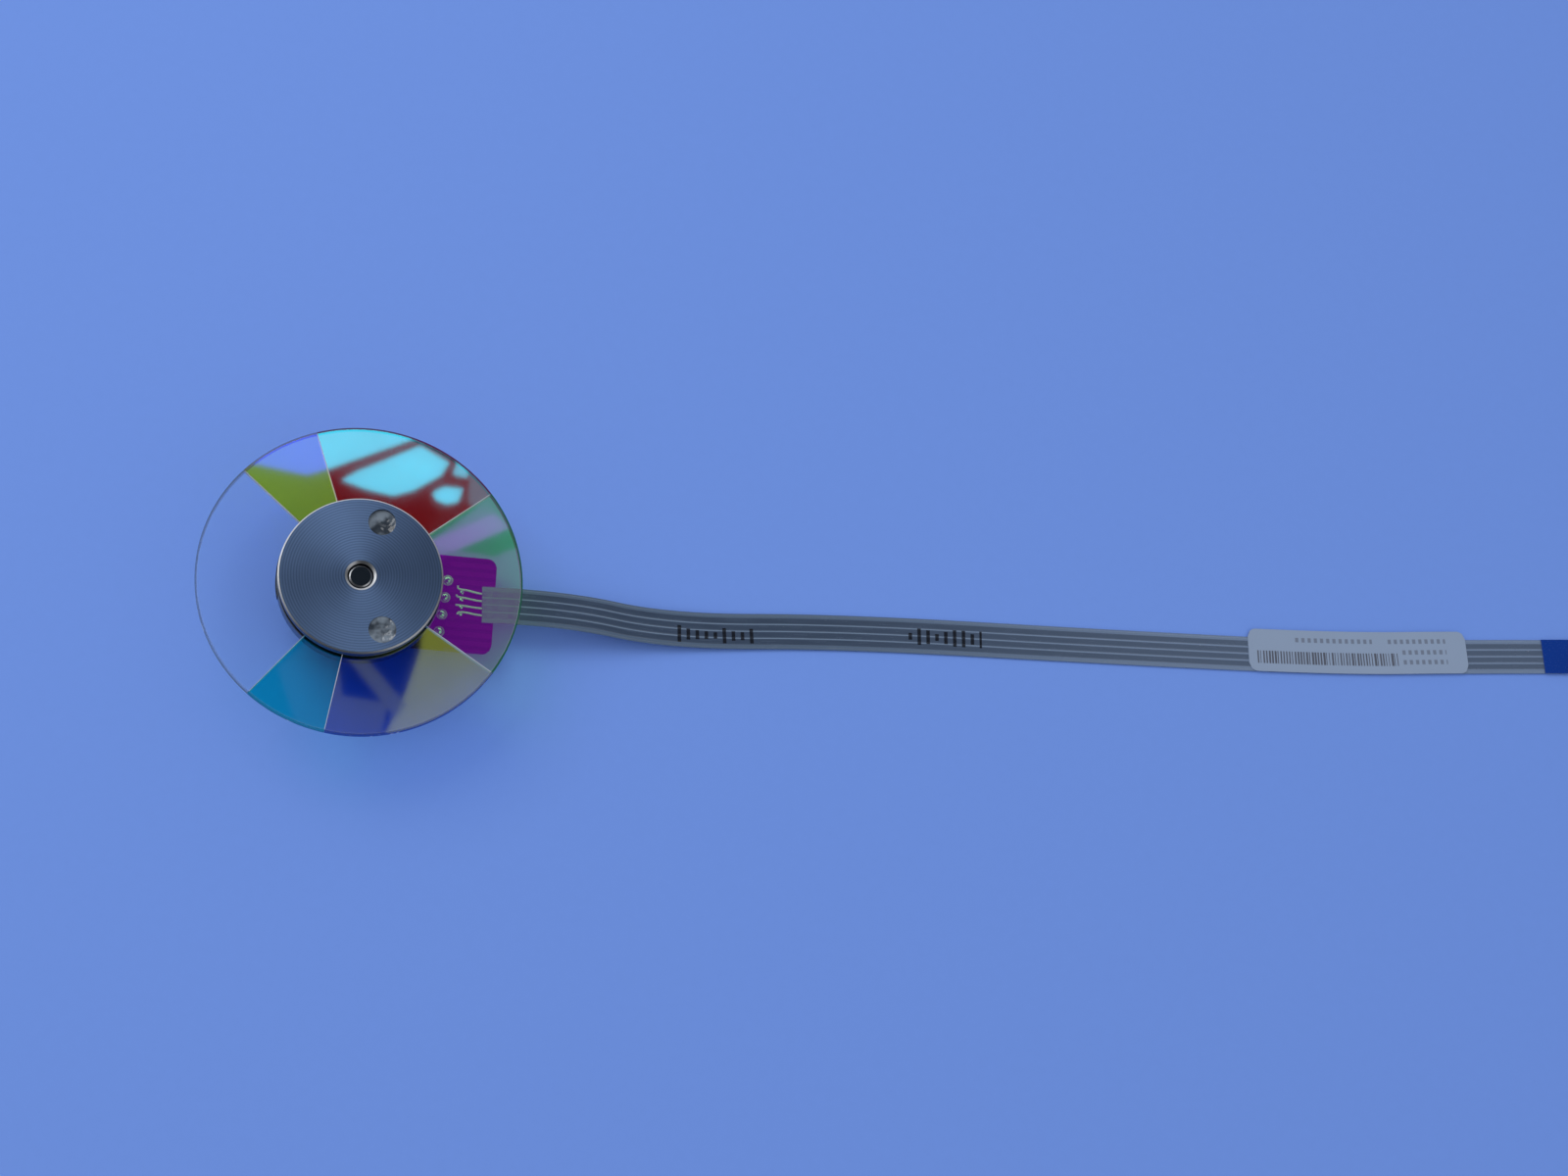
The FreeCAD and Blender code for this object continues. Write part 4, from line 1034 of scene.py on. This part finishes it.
    def label(self, points: list[Vector]) -> bpy.types.Object:
        """Makes the label, a thin sheet with round corners that follows the cable.

        Args:
            points: the cable's path.

        Returns:
            The label.
        """
        paper = LabelPaper("printed_label").build()
        columns = self.label_steps
        corner = self.label_corner
        steps = self.stretch(points, self.label_from, self.label_from + self.label_length, columns)
        places: list[Vector] = []
        uvs: list[tuple[float, float]] = []
        for index, (place, heading) in enumerate(steps):
            run = self.label_length * index / columns
            near = min(run, self.label_length - run)
            inset = corner - math.sqrt(max(corner * corner - max(corner - near, 0.0) ** 2, 0.0))
            side = sideways(heading)
            for level in (self.thick / 2, self.thick / 2 + self.label_thick):
                for edge in (-1, 1):
                    across = self.label_offset + edge * (self.label_width / 2 - inset)
                    places.append(place + side * across + Vector((0.0, 0.0, level)))
                    uvs.append((run / MM, across / MM))
        faces = [(0, 1, 3, 2), tuple(len(places) - 4 + corner_index for corner_index in (0, 2, 3, 1))]
        for step in range(columns):
            low = step * 4
            for first, second in ((0, 2), (2, 3), (3, 1), (1, 0)):
                faces.append((low + first, low + second, low + 4 + second, low + 4 + first))
        return mesh_piece("printed_cable_label", places, faces, paper, uvs)


@dataclass
class Studio:
    """The pale floor, soft light, window panes and the camera of the photograph."""

    floor_size: float = 1.6
    floor_colour: Colour = (0.17, 0.31, 0.8)
    card_height: float = 0.398
    lens: float = 72.0
    camera_place: tuple[float, float, float] = (-0.010102, -0.138117, 0.398244)
    look: tuple[float, float, float] = (0.157877, 0.340023, -0.92707)
    up: tuple[float, float, float] = (-0.091524, 0.939842, 0.329121)

    def floor(self) -> None:
        """Makes the floor that the part stands on."""
        half = self.floor_size / 2
        finish = Finish("pale_floor")
        fine = finish.graph.noise(700.0, 4.0)
        shade = finish.graph.mix(fine, scaled(self.floor_colour, 0.97), self.floor_colour)
        finish.surface({"Base Color": shade, "Roughness": 0.8, "Specular IOR Level": 0.2})
        corners = [(-half, -half, 0.0), (half, -half, 0.0), (half, half, 0.0), (-half, half, 0.0)]
        mesh_piece("floor", corners, [(0, 1, 2, 3)], finish.material)

    def light_cards(self) -> None:
        """Makes the window panes and the paler wall that the coatings mirror."""
        for name, strength, outline in (
            ("window_pane_left", 1.0, ((-0.026, 0.168), (-0.006, 0.1655), (0.0, 0.168), (0.026, 0.181),
                                       (0.02, 0.19), (-0.026, 0.188))),
            ("window_pane_middle", 1.0, ((0.003, 0.165), (0.010, 0.163), (0.017, 0.162), (0.022, 0.164),
                                         (0.029, 0.169), (0.031, 0.173), (0.023, 0.177), (0.007, 0.168))),
            ("window_pane_small", 1.0, ((0.028, 0.162), (0.031, 0.161), (0.034, 0.162), (0.035, 0.166),
                                        (0.030, 0.166), (0.027, 0.164))),
            ("window_pane_right", 0.8, ((0.032, 0.1695), (0.036, 0.169), (0.036, 0.173), (0.033, 0.174))),
            ("sill_light", 0.2, ((0.0365, 0.162), (0.052, 0.156), (0.052, 0.176), (0.0365, 0.176))),
            ("wall_streak", 0.9, ((0.027, 0.150), (0.030, 0.146), (0.048, 0.156), (0.0441, 0.1601))),
            ("upper_wall", 0.45, ((0.0331, 0.1553), (0.027, 0.150), (0.0441, 0.1601), (0.0417, 0.1634))),
            ("pale_wall", 0.42, ((0.028, 0.1490), (0.0449, 0.1476), (0.047, 0.1493), (0.056, 0.153),
                                 (0.056, 0.112), (0.045, 0.095), (0.018, 0.092), (0.024, 0.108),
                                 (0.027, 0.120))),
            ("wall_bar", 0.14, ((0.006, 0.119), (0.011, 0.119), (0.0245, 0.105), (0.022, 0.101))),
            ("low_wall", 0.13, ((-0.009, 0.112), (-0.002, 0.120), (0.006, 0.117), (0.008, 0.106),
                                (0.020, 0.105), (0.018, 0.093), (0.0, 0.090))),
        ):
            finish = Finish(name + "_light")
            glow = finish.graph.add("ShaderNodeEmission",
                                    {"Color": (0.93, 0.97, 1.0), "Strength": strength})
            finish.graph.feed(finish.output.inputs["Surface"], glow.outputs[0])
            corners = [(across, along, self.card_height) for across, along in outline]
            card = mesh_piece(name, corners, [tuple(range(len(corners)))], finish.material)
            card.visible_camera = False
            card.visible_diffuse = False
            card.visible_shadow = False

    def lamps(self) -> None:
        """Makes the soft key and fill lamps."""
        for name, place, size, power in (
            ("key_lamp", (-0.35, 0.32, 0.55), 0.45, 2.2),
            ("fill_lamp", (0.4, -0.2, 0.6), 0.5, 0.5),
        ):
            light = bpy.data.lights.new(name, "AREA")
            light.size = size
            light.energy = power
            lamp = bpy.data.objects.new(name, light)
            lamp.location = place
            aim = Vector((0.03, 0.0, 0.0)) - Vector(place)
            lamp.rotation_euler = aim.to_track_quat("-Z", "Y").to_euler()
            bpy.context.scene.collection.objects.link(lamp)

    def world(self) -> None:
        """Makes the pale surroundings, brighter low down on the window's side for the metal to mirror."""
        world = bpy.data.worlds.new("studio")
        world.use_nodes = True
        world.node_tree.nodes.clear()
        graph = Graph(world.node_tree)
        path = graph.add("ShaderNodeLightPath")
        seen = graph.math("MAXIMUM", path.outputs["Is Camera Ray"], path.outputs["Is Transmission Ray"])
        direction = graph.add("ShaderNodeTexCoord").outputs["Generated"]
        _, _, height = graph.split(direction)
        toward = graph.vector_math("DOT_PRODUCT", direction, (-0.5, 0.85, 0.0)).outputs["Value"]
        side = graph.ramp(toward, -0.2, 0.8, 0.25, 1.0)
        shade = graph.product(graph.ramp(height, 0.1, 0.8, 1.0, 0.006), side)
        mirrored = graph.mix(shade, BLACK, (0.94, 0.97, 1.0))
        lit = graph.mix(path.outputs["Is Glossy Ray"], (0.5, 0.52, 0.55), mirrored)
        colour = graph.mix(seen, lit, (0.75, 0.8, 0.92))
        background = graph.add("ShaderNodeBackground", {"Color": colour, "Strength": 1.0})
        output = graph.add("ShaderNodeOutputWorld")
        graph.feed(output.inputs["Surface"], background.outputs[0])
        bpy.context.scene.world = world

    def camera(self) -> None:
        """Places the camera at the photograph's viewing angle."""
        data = bpy.data.cameras.new("photo_camera")
        data.lens = self.lens
        data.sensor_width = 36.0
        data.clip_start = 0.01
        look = Vector(self.look).normalized()
        right = look.cross(Vector(self.up)).normalized()
        up = right.cross(look)
        turn = Matrix((right, up, -look)).transposed().to_4x4()
        camera = bpy.data.objects.new("photo_camera", data)
        camera.matrix_world = Matrix.Translation(self.camera_place) @ turn
        bpy.context.scene.collection.objects.link(camera)
        bpy.context.scene.camera = camera

    def build(self) -> None:
        """Makes the whole stage."""
        bpy.context.scene.view_settings.view_transform = "Standard"
        self.floor()
        self.light_cards()
        self.lamps()
        self.world()
        self.camera()


def main() -> None:
    """Builds the stage and every sub-assembly, and reports each."""
    logging.basicConfig(level=logging.INFO, format="%(name)s: %(message)s")
    Studio().build()
    FlatCable().build()
    FilterRing().build()
    SpindleMotor().build()


if __name__ == "__main__":
    main()
